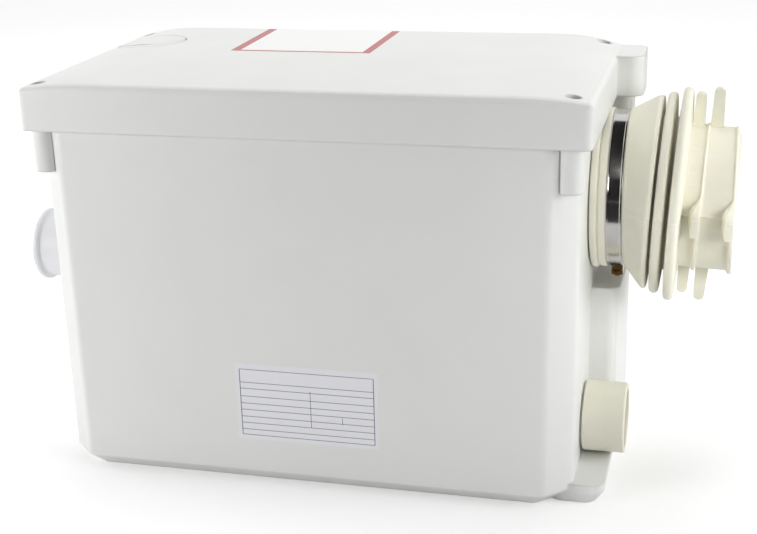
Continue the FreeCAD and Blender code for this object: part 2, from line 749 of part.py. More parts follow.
# Band clamp with its worm screw under the sleeve
band_radius = "spigot_radius + cuff_wall + band_ease"
node(tube("Band", f"{band_radius} + band_thick", band_radius, "band_width", x="tank_length / 2 + band_start",
          y="sleeve_along", z="sleeve_height", axis=along_x, angle=90), "clamp_band")
worm_x = "tank_length / 2 + band_start + band_width / 2"
worm_z = f"sleeve_height - ({band_radius} + band_thick + worm_radius + worm_drop)"
housing_length = "worm_length - worm_head_height - 2"
housing_side = "worm_radius + worm_gap / 2 + housing_wall"
housing = block("WormBlock", f"2 * ({housing_side})", housing_length, f"{housing_side} + worm_radius + 2",
                x=f"{worm_x} - ({housing_side})", y=f"sleeve_along - ({housing_length}) / 2",
                z=f"{worm_z} - ({housing_side})")
worm_bore = rod("WormBore", "worm_radius + worm_gap / 2", "worm_length + 4", x=worm_x,
                y="sleeve_along - worm_length / 2 - 2", z=worm_z, axis=back_way, angle=-90)
band_space = rod("BandSpace", f"{band_radius} + band_thick", "band_width * 2",
                 x="tank_length / 2 + band_start / 2",
                 y="sleeve_along", z="sleeve_height", axis=along_x, angle=90)
node(cut("WormHousing", housing, worm_bore, band_space), "clamp_housing")
worm_front = f"sleeve_along - ({housing_length}) / 2 - joint_gap"
worm_rod = rod("Worm", "worm_radius", f"{housing_length} + 2 * joint_gap + 1", x=worm_x, y=worm_front,
               z=worm_z,
               axis=back_way, angle=-90)
worm_collar = rod("WormCollar", "worm_radius + worm_gap", "1", x=worm_x,
                  y=f"{worm_front} + {housing_length} + 2 * joint_gap", z=worm_z, axis=back_way, angle=-90)
worm_head = rod("WormHead", "worm_head_radius", "worm_head_height", x=worm_x,
                y=f"{worm_front} - worm_head_height", z=worm_z, axis=back_way, angle=-90)
worm_cross = [
    block(f"WormSlot{number}", width, "worm_head_height / 2", height, x=f"{worm_x} - ({width}) / 2",
          y=f"{worm_front} - worm_head_height", z=f"{worm_z} - ({height}) / 2")
    for number, (width, height) in enumerate((("worm_radius * 1.6", "1"), ("1", "worm_radius * 1.6")))
]
node(cut("ClampScrew", fuse("WormSolid", worm_rod, worm_collar, worm_head), *worm_cross), "clamp_screw")

# Left inlet, closed by a dished cap, and low right inlet with a rubber pipe sleeve and a flap
cap_fit = "inlet_radius + joint_gap / 3"
cap_back = "-tank_length / 2 - joint_gap"
cap_shell = rod("CapShell", f"{cap_fit} + cap_wall", "cap_reach - joint_gap", x=cap_back, y="inlet_along",
                z="cap_height", axis=along_x, angle=-90)
cap_rim = rod("CapRim", "cap_rim", "cap_rim_thick", x="-tank_length / 2 - cap_reach + cap_rim_thick",
              y="inlet_along", z="cap_height", axis=along_x, angle=-90)
cap_inside = rod("CapInside", cap_fit, "cap_reach - 2 * cap_wall", x="-tank_length / 2 + 1", y="inlet_along",
                 z="cap_height", axis=along_x, angle=-90)
cap_dish = rod("CapDish", "inlet_radius - 1", "3", x="-tank_length / 2 - cap_reach + 2", y="inlet_along",
               z="cap_height", axis=along_x, angle=-90)
node(cut("InletCap", fuse("InletCapSolid", cap_shell, cap_rim), cap_inside, cap_dish), "side_inlet_cap")
low_tube = rod("LowTube", "inlet_radius + lower_wall", "lower_reach - joint_gap",
               x="tank_length / 2 + joint_gap",
               y="inlet_along", z="lower_height", axis=along_x, angle=90)
low_fit = rod("LowFit", cap_fit, "inlet_length + joint_gap", x="tank_length / 2", y="inlet_along",
              z="lower_height", axis=along_x, angle=90)
low_pipe = rod("LowPipe", "pipe_radius", "lower_reach", x="tank_length / 2 + inlet_length", y="inlet_along",
               z="lower_height", axis=along_x, angle=90)
node(cut("LowSleeve", low_tube, low_fit, low_pipe), "lower_inlet_sleeve")
flap_disc = rod("FlapDisc", "flap_radius", "flap_thick", x=flap_face, y="inlet_along", z="lower_height",
                axis=along_x, angle=-90)
flap_arm = block("FlapArm", "flap_thick", "12", "hinge_radius * 2 + 8", x=f"{flap_face} - flap_thick",
                 y="inlet_along - 6", z="lower_height + flap_radius - 8")
flap_eye = rod("FlapEye", "hinge_radius * 2", "17", x=flap_hinge_x, y="inlet_along - 8.5", z=flap_hinge_z,
               axis=back_way, angle=-90)
flap_bore = rod("FlapBore", "hinge_radius + hinge_gap", "30", x=flap_hinge_x, y="inlet_along - 15",
                z=flap_hinge_z, axis=back_way, angle=-90)
node(cut("InletFlap", fuse("InletFlapSolid", flap_disc, flap_arm, flap_eye), flap_bore), "inlet_flap")
node(rod("InletPin", "hinge_radius", "26", x=flap_hinge_x, y="inlet_along - 13", z=flap_hinge_z,
         axis=back_way,
         angle=-90), "inlet_flap_pin")


def at_motor(z):
    return {"x": "motor_across", "y": "motor_along", "z": z}


def around_motor(count, radius, circle, height, label, z):
    """Copies of a rod on a circle about the motor's axis."""
    turns = [2 * math.pi * index / count + math.pi / 2 for index in range(count)]
    return [
        rod(f"{label}{index}", radius, height, x=f"motor_across + {circle} * {math.cos(turn):.5f}",
            y=f"motor_along + {circle} * {math.sin(turn):.5f}", z=z)
        for index, turn in enumerate(turns)
    ]


# Pump casing: a round chamber on three legs with a tangential outlet, and its suction plate
pump_outer = "pump_radius + pump_wall"
chamber = rod("Chamber", pump_outer, "housing_bottom - pump_bottom", **at_motor("pump_bottom"))
outlet_run = "riser_along - bend_radius - motor_along"
outlet = rod("Outlet", "pipe_outer", outlet_run, x=riser_across, y="motor_along", z="outlet_height",
             axis=back_way, angle=-90)
outlet_bore = rod("OutletBore", "pipe_outer - pipe_wall", f"{outlet_run} + 1", x=riser_across,
                  y="motor_along",
                  z="outlet_height", axis=back_way, angle=-90)
chamber_bore = rod("ChamberBore", "pump_radius", "pump_top - pump_wall - pump_bottom + 1",
                   **at_motor("pump_bottom - 1"))
dry_space = rod("DrySpace", "pump_radius - 4", "housing_bottom - pump_top + 1", **at_motor("pump_top"))
seal_hole = rod("SealHole", "seal_radius + 0.05", "20", **at_motor("pump_top - 10"))
legs = around_motor(3, "leg_radius", "leg_circle", "pump_bottom - tank_floor - mount_height - pump_wall",
                    "Leg",
                   "tank_floor + mount_height")
node(cut("Volute", fuse("VoluteSolid", chamber, outlet), chamber_bore, outlet_bore, dry_space, seal_hole),
     "pump_volute")
plate = rod("SuctionPlate", pump_outer, "pump_wall", **at_motor("pump_bottom - pump_wall"))
eye = rod("SuctionEye", "eye_radius", "20", **at_motor("pump_bottom - 10"))
node(cut("SuctionCover", fuse("SuctionSolid", plate, *legs), eye), "suction_cover")
mounts = around_motor(3, "leg_radius + 3", "leg_circle", "mount_height", "Mount", "tank_floor")
node(group("RubberMounts", *mounts), "rubber_mounts")

# Macerator: a slotted screen under the suction plate, round the spinning cutter
screen_body = doc.addObject("PartDesign::Body", "ScreenBody")
screen_top = "pump_bottom - pump_wall"
screen_profile = outline(
    screen_body, "ScreenProfile", "XZ_Plane",
    rectangle("screen_radius - screen_wall", "screen_radius", "tank_floor + 5", screen_top),
)
screen_ring = feature(screen_body, "Revolution", "ScreenRing", screen_profile, Angle=360.0,
                      ReferenceAxis=(screen_profile, ["V_Axis"]))
slot_profile = outline(
    screen_body, "SlotProfile", "YZ_Plane",
    rectangle("-slot_width / 2", "slot_width / 2", "tank_floor + 9", f"{screen_top} - 5"),
)
first_slot = feature(screen_body, "Pocket", "FirstSlot", slot_profile, Length="screen_radius * 2",
                     Reversed=True)
slots = feature(screen_body, "PolarPattern", "Slots", Originals=[first_slot], Angle=360.0,
                Occurrences="screen_slots", Axis=(origin_part(screen_body, "Z_Axis"), [""]))
node(put(screen_body, **at_motor("0")), "macerator_screen")

# Rotor: shaft, laminated core, impeller and cutter
shaft_body = doc.addObject("PartDesign::Body", "ShaftBody")
shaft_profile = outline(shaft_body, "ShaftProfile", "XZ_Plane", [
    ("0", "shaft_bottom"), ("shaft_radius * 1.5", "shaft_bottom"), ("shaft_radius * 1.5", "shaft_bottom + 5"),
    ("shaft_radius", "shaft_bottom + 5"), ("shaft_radius", "core_bottom - 6"),
    ("shaft_radius + 2", "core_bottom - 6"), ("shaft_radius + 2", "core_bottom"),
    ("shaft_radius", "core_bottom"), ("shaft_radius", "shaft_top - 2"), ("shaft_radius - 1", "shaft_top"),
    ("0", "shaft_top"),
])
feature(shaft_body, "Revolution", "ShaftTurned", shaft_profile, Angle=360.0,
        ReferenceAxis=(shaft_profile, ["V_Axis"]))
node(put(shaft_body, **at_motor("0")), "rotor_shaft")
core = rod("Core", "rotor_radius", "core_height", **at_motor("core_bottom"))
core_bore = rod("CoreBore", "shaft_radius + screw_gap", "core_height + 2", **at_motor("core_bottom - 1"))
end_rings = [
    tube(f"EndRing{number}", "rotor_radius - 4", "rotor_radius - 13", "6", **at_motor(z))
    for number, z in enumerate(("core_bottom - 6", "core_bottom + core_height"))
]
node(fuse("RotorCore", cut("CoreBored", core, core_bore), *end_rings), "rotor_core")

impeller_body = doc.addObject("PartDesign::Body", "ImpellerBody")
impeller_top = "pump_bottom + impeller_gap + impeller_height"
impeller_profile = outline(impeller_body, "ImpellerProfile", "XZ_Plane", [
    ("shaft_radius + screw_gap", "pump_bottom + impeller_gap"),
    ("shaft_radius + 5", "pump_bottom + impeller_gap"),
    ("shaft_radius + 7", f"{impeller_top} - 4"), ("impeller_radius", f"{impeller_top} - 4"),
    ("impeller_radius", impeller_top), ("shaft_radius + screw_gap", impeller_top),
])
feature(impeller_body, "Revolution", "ImpellerDisc", impeller_profile, Angle=360.0,
        ReferenceAxis=(impeller_profile, ["V_Axis"]))
vane_plan = outline(impeller_body, "VanePlan", "XY_Plane", [
    ("shaft_radius + 4", "-vane_thick / 2"), ("impeller_radius * 0.55", "impeller_radius * 0.1"),
    ("impeller_radius * 0.8", "impeller_radius * 0.3"), ("impeller_radius * 0.84", "impeller_radius * 0.5"),
    ("impeller_radius * 0.84 - vane_thick", "impeller_radius * 0.54"),
    ("impeller_radius * 0.74", "impeller_radius * 0.36"),
    ("impeller_radius * 0.52", "impeller_radius * 0.1 + vane_thick"), ("shaft_radius + 4", "vane_thick / 2"),
], "pump_bottom + impeller_gap")
vane = feature(impeller_body, "Pad", "Vane", vane_plan, Length="impeller_height - 3")
feature(impeller_body, "PolarPattern", "Vanes", Originals=[vane], Angle=360.0, Occurrences="vane_count",
        Axis=(origin_part(impeller_body, "Z_Axis"), [""]))
node(put(impeller_body, **at_motor("0")), "impeller")

cutter_body = doc.addObject("PartDesign::Body", "CutterBody")
cutter_hub = outline(cutter_body, "CutterHub", "XZ_Plane", rectangle(
    "shaft_radius + screw_gap", "shaft_radius + 5", "shaft_bottom + 5", "shaft_bottom + 5 + cutter_height"))
feature(cutter_body, "Revolution", "CutterHubTurned", cutter_hub, Angle=360.0,
        ReferenceAxis=(cutter_hub, ["V_Axis"]))
blade_plan = outline(cutter_body, "BladePlan", "XY_Plane", [
    ("shaft_radius + 3", "-4"), ("cutter_radius - 2", "-2"), ("cutter_radius", "4"),
    ("shaft_radius + 3", "5"),
], "shaft_bottom + 5")
blade = feature(cutter_body, "Pad", "Blade", blade_plan, Length="3")
feature(cutter_body, "PolarPattern", "Blades", Originals=[blade], Angle=360.0, Occurrences=4,
        Axis=(origin_part(cutter_body, "Z_Axis"), [""]))
node(put(cutter_body, **at_motor("0")), "cutter")
spacer = tube("Spacer", "shaft_radius + 3", "shaft_radius + screw_gap",
              "pump_bottom + impeller_gap - shaft_bottom - 5 - cutter_height",
              **at_motor("shaft_bottom + 5 + cutter_height"))
node(spacer, "shaft_spacer")

# Motor: sealed housing with bearings, wound stator and a cover
node(tube("ShaftSeal", "seal_radius", "shaft_radius + running_gap", "housing_bottom - pump_top + pump_wall",
          **at_motor("pump_top - pump_wall")), "shaft_seal")
can = rod("Can", "stator_radius + housing_thick", "housing_top - housing_bottom",
          **at_motor("housing_bottom"))
can_space = rod("CanSpace", "stator_radius + 0.05", "housing_top - housing_bottom", **at_motor(
    "housing_bottom + housing_thick"))
low_hub = rod("LowHub", "bearing_radius + 4", "bearing_height + housing_thick + 1",
              **at_motor("housing_bottom"))
low_seat = rod("LowSeat", "bearing_radius + 0.05", "bearing_height + 10", **at_motor(
    "housing_bottom + housing_thick"))
can_hole = rod("CanHole", "shaft_radius + 2", "20", **at_motor("housing_bottom - 5"))
ribs = [
    block(f"CanRib{number}", "10", "3", "housing_top - housing_bottom - 12", axis=(0, 0, 1), angle=turn,
          x=f"motor_across + (stator_radius + housing_thick - 6) * {math.cos(math.radians(turn)):.5f}",
          y=f"motor_along + (stator_radius + housing_thick - 6) * {math.sin(math.radians(turn)):.5f}",
          z="housing_bottom")
    for number, turn in enumerate(range(22, 382, 45))
]
can_cup = cut("CanCup", fuse("CanSolid", can, *ribs), can_space)
node(cut("MotorHousing", fuse("CanHubbed", can_cup, low_hub), low_seat, can_hole), "motor_housing")
for name, z in (("lower_bearing", "housing_bottom + housing_thick"), ("upper_bearing", "housing_top - 12")):
    race = "(bearing_radius - shaft_radius) * 0.28"
    outer_race = tube(name + "_outer", "bearing_radius", f"bearing_radius - {race}", "bearing_height")
    inner_race = tube(name + "_inner", f"shaft_radius + {race}", "shaft_radius + running_gap",
                      "bearing_height")
    shield = tube(name + "_shield", f"bearing_radius - {race} + 0.2", f"shaft_radius + {race} - 0.2",
                  "bearing_height - 2", z="1")
    node(put(fuse(name + "_ring", outer_race, inner_race, shield), **at_motor(z)), name)
node(tube("Stator", "stator_radius", "rotor_radius + rotor_gap", "core_height", **at_motor("core_bottom")),
     "stator_core")
winding_middle = "(stator_radius + rotor_radius) / 2"
windings = []
for number, level in enumerate(("core_bottom - winding_height / 2",
                                "core_bottom + core_height + winding_height / 2")):
    coil = bead(f"Winding{number}", f"{winding_middle} + winding_height / 2", level, "winding_height")
    coil_bore = rod(f"WindingBore{number}", f"{winding_middle} - winding_height / 2", "2 * winding_height",
                    z=f"{level} - winding_height")
    windings.append(put(cut(f"WindingRing{number}", fuse(f"WindingSolid{number}", *coil), coil_bore),
                        **at_motor("0")))
node(group("Windings", *windings), "stator_windings")
cover_plate = rod("CoverPlate", "stator_radius + housing_thick", "4", **at_motor("housing_top"))
cover_hub = rod("CoverHub", "bearing_radius + 4", "13", **at_motor("housing_top - 12.5"))
cover_seat = rod("CoverSeat", "bearing_radius + 0.05", "bearing_height + 0.5",
                 **at_motor("housing_top - 12.5"))
cover_space = rod("CoverSpace", "shaft_radius + 2", "4", **at_motor("housing_top - 4"))
node(cut("MotorCover", fuse("CoverSolid", cover_plate, cover_hub), cover_seat, cover_space), "motor_cover")

# Electrics on the motor cover: a box with a lid, the run capacitor and a terminal block
box_bottom = "housing_top + 4"
box_x = "motor_across - box_length / 2 - 8"
box_y = "motor_along - box_depth / 2"
box_outer = block("BoxOuter", "box_length", "box_depth", "box_height", x=box_x, y=box_y, z=box_bottom)
box_inner = block("BoxInner", "box_length - 2 * box_wall", "box_depth - 2 * box_wall", "box_height",
                  x=f"{box_x} + box_wall", y=f"{box_y} + box_wall", z=f"{box_bottom} + box_wall")
node(cut("ElectricsBox", box_outer, box_inner), "electrics_box")
node(block("ElectricsLid", "box_length + 3", "box_depth + 3", "box_wall", x=f"{box_x} - 1.5",
           y=f"{box_y} - 1.5",
           z=f"{box_bottom} + box_height"), "electrics_lid")
can_body = rod("CapacitorCan", "capacitor_radius", "capacitor_length")
can_studs = [rod(f"CapacitorTab{number}", "2.5", "capacitor_length + 7", x=x) for number,
             x in enumerate(("-6", "6"))]
node(put(fuse("Capacitor", can_body, *can_studs), x=f"{box_x} + box_wall + 6",
         y=f"{box_y} + box_wall + capacitor_radius + 4", z=f"{box_bottom} + box_wall + capacitor_radius",
         axis=along_x, angle=90), "run_capacitor")
terminal = block("Terminal", "50", "16", "12", x=f"{box_x} + 20", y=f"{box_y} + box_depth - box_wall - 20",
                 z=f"{box_bottom} + box_wall")
holes = [
    rod(f"TerminalHole{number}", "2.6", "8", x=f"{box_x} + {26 + 9.5 * number}",
        y=f"{box_y} + box_depth - box_wall - 12", z=f"{box_bottom} + box_wall + 6")
    for number in range(5)
]
node(cut("TerminalBlock", terminal, *holes), "terminal_block")


bend_stretches = 6


def bend(label, start, axis_y, axis_z, angle):
    """A pipe bend in short straight stretches, turned from a start point about an axis that runs along X."""
    facing = Vector(0, 1, 0) if axis_y == start.y else Vector(0, 0, 1)
    axle = Vector(start.x, axis_y, axis_z)
    skins = []
    for radius in (size.pipe_outer, size.pipe_outer - size.pipe_wall):
        rings = [Part.Wire(Part.makeCircle(radius, start, facing)) for _ in range(bend_stretches + 1)]
        for number, ring in enumerate(rings):
            ring.rotate(axle, Vector(1, 0, 0), angle * number / bend_stretches)
        skins.append(Part.makeLoft(rings, True, True))
    return made(label, skins[0].cut(skins[1]))


# Discharge: elbow, check valve, riser and a stepped spout through the back wall
pipe_bore = "pipe_outer - pipe_wall"
riser_x = size.motor_across - size.pump_radius + size.pipe_outer - size.pipe_wall


def at_riser(z):
    return {"x": riser_across, "y": "riser_along", "z": z}


low_start = Vector(riser_x, size.riser_along - size.bend_radius, size.outlet_height)
low_bend = bend("LowBend", low_start, low_start.y, size.outlet_height + size.bend_radius, 90)
low_straight = tube("LowStraight", "pipe_outer", pipe_bore, "valve_bottom - outlet_height - bend_radius",
                    **at_riser("outlet_height + bend_radius"))
node(fuse("DischargeElbow", low_bend, low_straight), "discharge_elbow")
valve_body = rod("ValveBody", "valve_radius", "valve_height", **at_riser("valve_bottom"))
valve_room = rod("ValveRoom", "valve_radius - 4", "valve_height - 10", **at_riser("valve_bottom + 6"))
valve_port = rod("ValvePort", "valve_seat", "10", **at_riser("valve_bottom - 2"))
valve_exit = rod("ValveExit", pipe_bore, "10", **at_riser("valve_bottom + valve_height - 8"))
hinge_y = "riser_along + valve_flap + 1"
hinge_z = "valve_bottom + 6 + joint_gap + 2 * hinge_radius"
valve_ears = [
    block(f"ValveEar{number}", "valve_ear", "2 * valve_ear", "3 * valve_ear", x=f"{riser_across} {offset}",
          y=f"{hinge_y} - valve_ear", z="valve_bottom + 5")
    for number, offset in enumerate(("- valve_ear_out - valve_ear", "+ valve_ear_out"))
]
valve_hinge_bore = rod("ValveHingeBore", "hinge_radius + screw_gap", "2 * (valve_ear_out + valve_ear)",
                       x=f"{riser_across} - valve_ear_out - valve_ear", y=hinge_y,
                       z=hinge_z, axis=along_x, angle=90)
valve_shell = cut("ValveShell", valve_body, valve_room, valve_port, valve_exit)
node(cut("CheckValve", fuse("CheckValveSolid", valve_shell, *valve_ears), valve_hinge_bore),
     "check_valve_body")
valve_disc = rod("ValveDisc", "valve_flap", "flap_thick", **at_riser("valve_bottom + 6 + joint_gap"))
valve_arm = block("ValveArm", "8", "12", "flap_thick + 1", x=f"{riser_across} - 4", y=f"{hinge_y} - 12",
                  z="valve_bottom + 6 + joint_gap")
valve_eye = rod("ValveEye", "2 * hinge_radius", "2 * (valve_ear_out - valve_ear)",
                x=f"{riser_across} - valve_ear_out + valve_ear", y=hinge_y, z=hinge_z,
                axis=along_x, angle=90)
valve_eye_bore = rod("ValveEyeBore", "hinge_radius + hinge_gap", "2 * valve_ear_out", y=hinge_y,
                     x=f"{riser_across} - valve_ear_out",
                     z=hinge_z, axis=along_x, angle=90)
node(cut("ValveFlap", fuse("ValveFlapSolid", valve_disc, valve_arm, valve_eye), valve_eye_bore), "check_flap")
node(rod("ValvePin", "hinge_radius", "2 * (valve_ear_out + valve_ear) - 1", y=hinge_y, z=hinge_z,
         axis=along_x,
         x=f"{riser_across} - valve_ear_out - valve_ear + 0.5",
         angle=90), "check_flap_pin")
riser_start = "valve_bottom + valve_height"
riser_tube = tube("RiserTube", "pipe_outer", pipe_bore, f"spout_height - bend_radius - ({riser_start})",
                  **at_riser(riser_start))
high_start = Vector(riser_x, size.riser_along, size.spout_height - size.bend_radius)
high_bend = bend("HighBend", high_start, size.riser_along + size.bend_radius, high_start.z, -90)
node(fuse("DischargeRiser", riser_tube, high_bend), "discharge_riser")

spout_body = doc.addObject("PartDesign::Body", "SpoutBody")
flange_at = ("tank_depth / 2 - (tank_height - spout_height) * tan(tank_draft * 1 deg) + joint_gap"
             " - riser_along - bend_radius")
spout_bore = "spout_small - pipe_wall"
spout_profile = outline(spout_body, "SpoutProfile", "XZ_Plane", [
    (pipe_bore, "0"), ("spout_mid", "0"), ("spout_mid", flange_at), ("spout_flange", flange_at),
    ("spout_flange", f"{flange_at} + spout_flange_thick"), ("spout_mid", f"{flange_at} + spout_flange_thick"),
    ("spout_mid", f"{flange_at} + 19"), ("spout_mid + 1", f"{flange_at} + 19"),
    ("spout_mid", f"{flange_at} + 24"), ("spout_small", f"{flange_at} + 25"),
    ("spout_small", f"{flange_at} + spout_reach - 2"), ("spout_small - 1", f"{flange_at} + spout_reach"),
    (spout_bore, f"{flange_at} + spout_reach"), (spout_bore, f"{flange_at} + spout_flange_thick + 2"),
    (pipe_bore, f"{flange_at} + spout_flange_thick"),
])
feature(spout_body, "Revolution", "SpoutTurned", spout_profile, Angle=360.0,
        ReferenceAxis=(spout_profile, ["V_Axis"]))
node(put(spout_body, x=riser_across, y="riser_along + bend_radius", z="spout_height", axis=back_way,
         angle=-90),
     "discharge_spout")

# Pressure switch: an air bell beside the motor, a diaphragm and a microswitch


def at_switch(z):
    return {"x": "switch_across", "y": "switch_along", "z": z}


bell = rod("Bell", "bell_radius", "switch_base - bell_bottom", **at_switch("bell_bottom"))
bell_bore = rod("BellBore", "bell_radius - bell_wall", "switch_base - bell_bottom + 2",
                **at_switch("bell_bottom - 1"))
arm_start = "motor_across + stator_radius + housing_thick + 0.1"
arms = [
    block(f"BellArm{number}", f"switch_across - bell_radius + bell_wall - ({arm_start})", "12", "18",
          x=arm_start,
          y="switch_along - 6", z=z)
    for number, z in enumerate(("housing_bottom + 16", "housing_top - 50"))
]
node(cut("AirBell", fuse("AirBellSolid", bell, *arms), bell_bore), "air_bell")
case = rod("SwitchCase", "switch_radius", "switch_height", **at_switch("switch_base"))
case_room = rod("CaseRoom", "diaphragm_radius + 0.6", "switch_height - 6", **at_switch("switch_base + 3"))
ledge = tube("CaseLedge", "diaphragm_radius + 1", "diaphragm_radius - 3", "6 - joint_gap",
             **at_switch("switch_base + 3"))
case_port = rod("CasePort", "bell_radius / 2", "6", **at_switch("switch_base - 1"))
case_hole = rod("CaseHole", "5.5", "6", **at_switch("switch_base + switch_height - 4"))
cheek_gap = "micro_depth / 2 + 0.1"
cheeks = [
    block(f"Cheek{number}", "20", "3", "micro_height + 7", x="switch_across - 10", y=y,
          z="switch_base + switch_height")
    for number, y in enumerate((f"switch_along + {cheek_gap}", f"switch_along - ({cheek_gap}) - 3"))
]
case_shell = cut("CaseShell", case, case_room, case_port, case_hole)
node(fuse("SwitchHousing", case_shell, ledge, *cheeks), "switch_housing")
membrane = rod("Membrane", "diaphragm_radius", "2.5", **at_switch("switch_base + 9"))
pusher = rod("Pusher", "5", "switch_height - 8", **at_switch("switch_base + 9"))
node(fuse("Diaphragm", membrane, pusher), "switch_diaphragm")
micro_bottom = "switch_base + switch_height + 7"
button_bottom = "switch_base + switch_height + 1 + joint_gap"
micro = block("Micro", "micro_length", "micro_depth", "micro_height", x="switch_across - micro_length / 2",
              y="switch_along - micro_depth / 2", z=micro_bottom)
button_space = rod("ButtonSpace", "button_radius + 0.1", "8 + diaphragm_travel", **at_switch(
    "switch_base + switch_height"))
node(cut("Microswitch", micro, button_space), "microswitch")
node(rod("Button", "button_radius", "6 + joint_gap", **at_switch(button_bottom)), "switch_button")

# Cable gland through the back wall
gland_at = {"x": "gland_across", "z": "gland_height", "axis": back_way, "angle": -90}
gland_wall = "tank_depth / 2 - (tank_height - gland_height) * tan(tank_draft * 1 deg)"
gland_stem = rod("GlandStem", "gland_radius", "tank_wall + 14", y=f"{gland_wall} - tank_wall - 8", **gland_at)
gland_nuts = [
    primitive("Prism", f"GlandNut{number}", {"Circumradius": "gland_nut", "Height": height}, y=y, **gland_at)
    for number, (height, y) in enumerate((("7", f"{gland_wall} + joint_gap"),
                                          ("4", f"{gland_wall} - tank_wall - joint_gap - 4")))
]
gland_dome = cone("GlandDome", "gland_nut - 2.5", "gland_bore + 3", "gland_reach - 7", y=f"{gland_wall} + 7",
                  **gland_at)
gland_bore = rod("GlandBore", "gland_bore", "gland_reach + 30", y=f"{gland_wall} - 20", **gland_at)
gland_entry = rod("GlandEntry", "gland_bore + 1", "27", y=f"{gland_wall} - 20", **gland_at)
gland_solid = fuse("GlandSolid", gland_stem, *gland_nuts, gland_dome)
node(cut("CableGland", gland_solid, gland_bore, gland_entry), "cable_gland")

doc.recompute()
for item in doc.Objects:
    if "Invalid" in item.State or "Error" in item.State:
        raise RuntimeError(f"{item.Label} did not rebuild: {item.State}")
os.makedirs("parts", exist_ok=True)
for piece in nodes:
    shape = piece.Shape
    if shape.isNull() or not shape.isValid() or not shape.Solids:
        raise RuntimeError(f"{piece.Label} is not a sound solid")
    shape.exportStep(f"parts/{piece.Label}.step")
    print(piece.Label, len(shape.Solids), round(shape.Volume))
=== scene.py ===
import math

import bmesh
import bpy
from mathutils import Matrix, Vector
from mathutils.bvhtree import BVHTree


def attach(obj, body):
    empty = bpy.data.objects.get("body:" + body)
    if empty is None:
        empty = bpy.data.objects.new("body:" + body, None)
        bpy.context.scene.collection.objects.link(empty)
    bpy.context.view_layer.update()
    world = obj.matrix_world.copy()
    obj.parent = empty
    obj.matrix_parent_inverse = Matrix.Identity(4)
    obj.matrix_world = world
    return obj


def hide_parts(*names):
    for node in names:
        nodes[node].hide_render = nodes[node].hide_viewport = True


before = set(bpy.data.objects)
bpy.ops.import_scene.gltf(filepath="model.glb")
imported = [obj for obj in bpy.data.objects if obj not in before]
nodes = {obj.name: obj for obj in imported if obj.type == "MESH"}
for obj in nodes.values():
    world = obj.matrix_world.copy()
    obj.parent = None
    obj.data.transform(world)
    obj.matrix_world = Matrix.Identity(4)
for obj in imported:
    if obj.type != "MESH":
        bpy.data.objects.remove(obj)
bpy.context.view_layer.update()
# a millimetre in metres; the pieces' dictionaries give millimetres and degrees
mm = 0.001


# helpers for colours, nodes and objects

def linear(hexCode):
    parts = [int(hexCode[at:at + 2], 16) / 255 for at in (1, 3, 5)]
    return [part / 12.92 if part <= 0.04045 else ((part + 0.055) / 1.055) ** 2.4 for part in parts] + [1.0]


def addNode(tree, kind, values=None, **settings):
    node = tree.nodes.new(kind)
    for name, value in settings.items():
        setattr(node, name, value)
    for name, value in (values or {}).items():
        if isinstance(value, bpy.types.NodeSocket):
            tree.links.new(value, node.inputs[name])
        else:
            node.inputs[name].default_value = value
    return node


def newMaterial(name):
    material = bpy.data.materials.new(name)
    material.use_nodes = True
    return material, material.node_tree, material.node_tree.nodes["Principled BSDF"]


def newObject(name, mesh, material, body="station", replaced=()):
    piece = bpy.data.objects.new(name, mesh)
    bpy.context.scene.collection.objects.link(piece)
    if material:
        mesh.materials.clear()
        mesh.materials.append(material)
    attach(piece, body)
    if replaced:
        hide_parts(*replaced)


# helpers for shapes

easing = {"sharpest": 0.05, "straight": 1.55, "share": 0.48, "weld": 1e-7}


def meshOf(name, vertices, faces, creases=50):
    mesh = bpy.data.meshes.new(name)
    mesh.from_pydata([tuple(v) for v in vertices], [], faces)
    solid = bmesh.new()
    solid.from_mesh(mesh)
    bmesh.ops.remove_doubles(solid, verts=solid.verts, dist=easing["weld"])
    bmesh.ops.recalc_face_normals(solid, faces=solid.faces)
    solid.to_mesh(mesh)
    solid.free()
    mesh.shade_smooth()
    mesh.set_sharp_from_angle(angle=math.radians(creases))
    return mesh


def eased(corners, steps):
    # each corner is (along, out, radius); the arc is a rational curve, so a right angle gets a true arc
    points = []
    for index, (along, out, radius) in enumerate(corners):
        here = Vector((along, out))
        back = Vector(corners[index - 1][:2]) - here
        ahead = Vector(corners[(index + 1) % len(corners)][:2]) - here
        half = max(back.angle(ahead, math.pi) / 2, easing["sharpest"])
        reach = 0
        if half < easing["straight"]:
            reach = min(radius / math.tan(half), easing["share"] * back.length,
                        easing["share"] * ahead.length)
        start, end = here + back.normalized() * reach, here + ahead.normalized() * reach
        weight = math.sin(half)
        for step in range(steps + 1):
            t = step / steps
            parts = ((1 - t) ** 2, 2 * weight * t * (1 - t), t ** 2)
            points.append((start * parts[0] + here * parts[1] + end * parts[2]) / sum(parts))
    return points


def turned(name, profileAt, place, angles):
    # a closed profile carried round an axis; profileAt gives its points at one angle
    rows = [[place(point[0], point[1], angle) for point in profileAt(angle)] for angle in angles]
    size = len(rows[0])
    vertices = [vertex for row in rows for vertex in row]
    faces = []
    for turn in range(len(rows)):
        here, after = turn * size, (turn + 1) % len(rows) * size
        for step in range(size):
            following = (step + 1) % size
            faces.append((here + step, here + following, after + following, after + step))
    return meshOf(name, vertices, faces)


def evenAngles(count):
    return [2 * math.pi * step / count for step in range(count)]


def smoothStep(value, low, high):
    t = min(1, max(0, (value - low) / (high - low)))
    return t * t * (3 - 2 * t)


# camera that gives the photograph's view, in metres

cameraView = {
    "position": (0.33205, -1.13217, 0.55617), "target": (0.04357, -0.035, 0.17023), "roll": -1.495,
    "focalPixels": 1403.57, "imageWidth": 757, "sensor": 36, "clip": (0.05, 50),
}


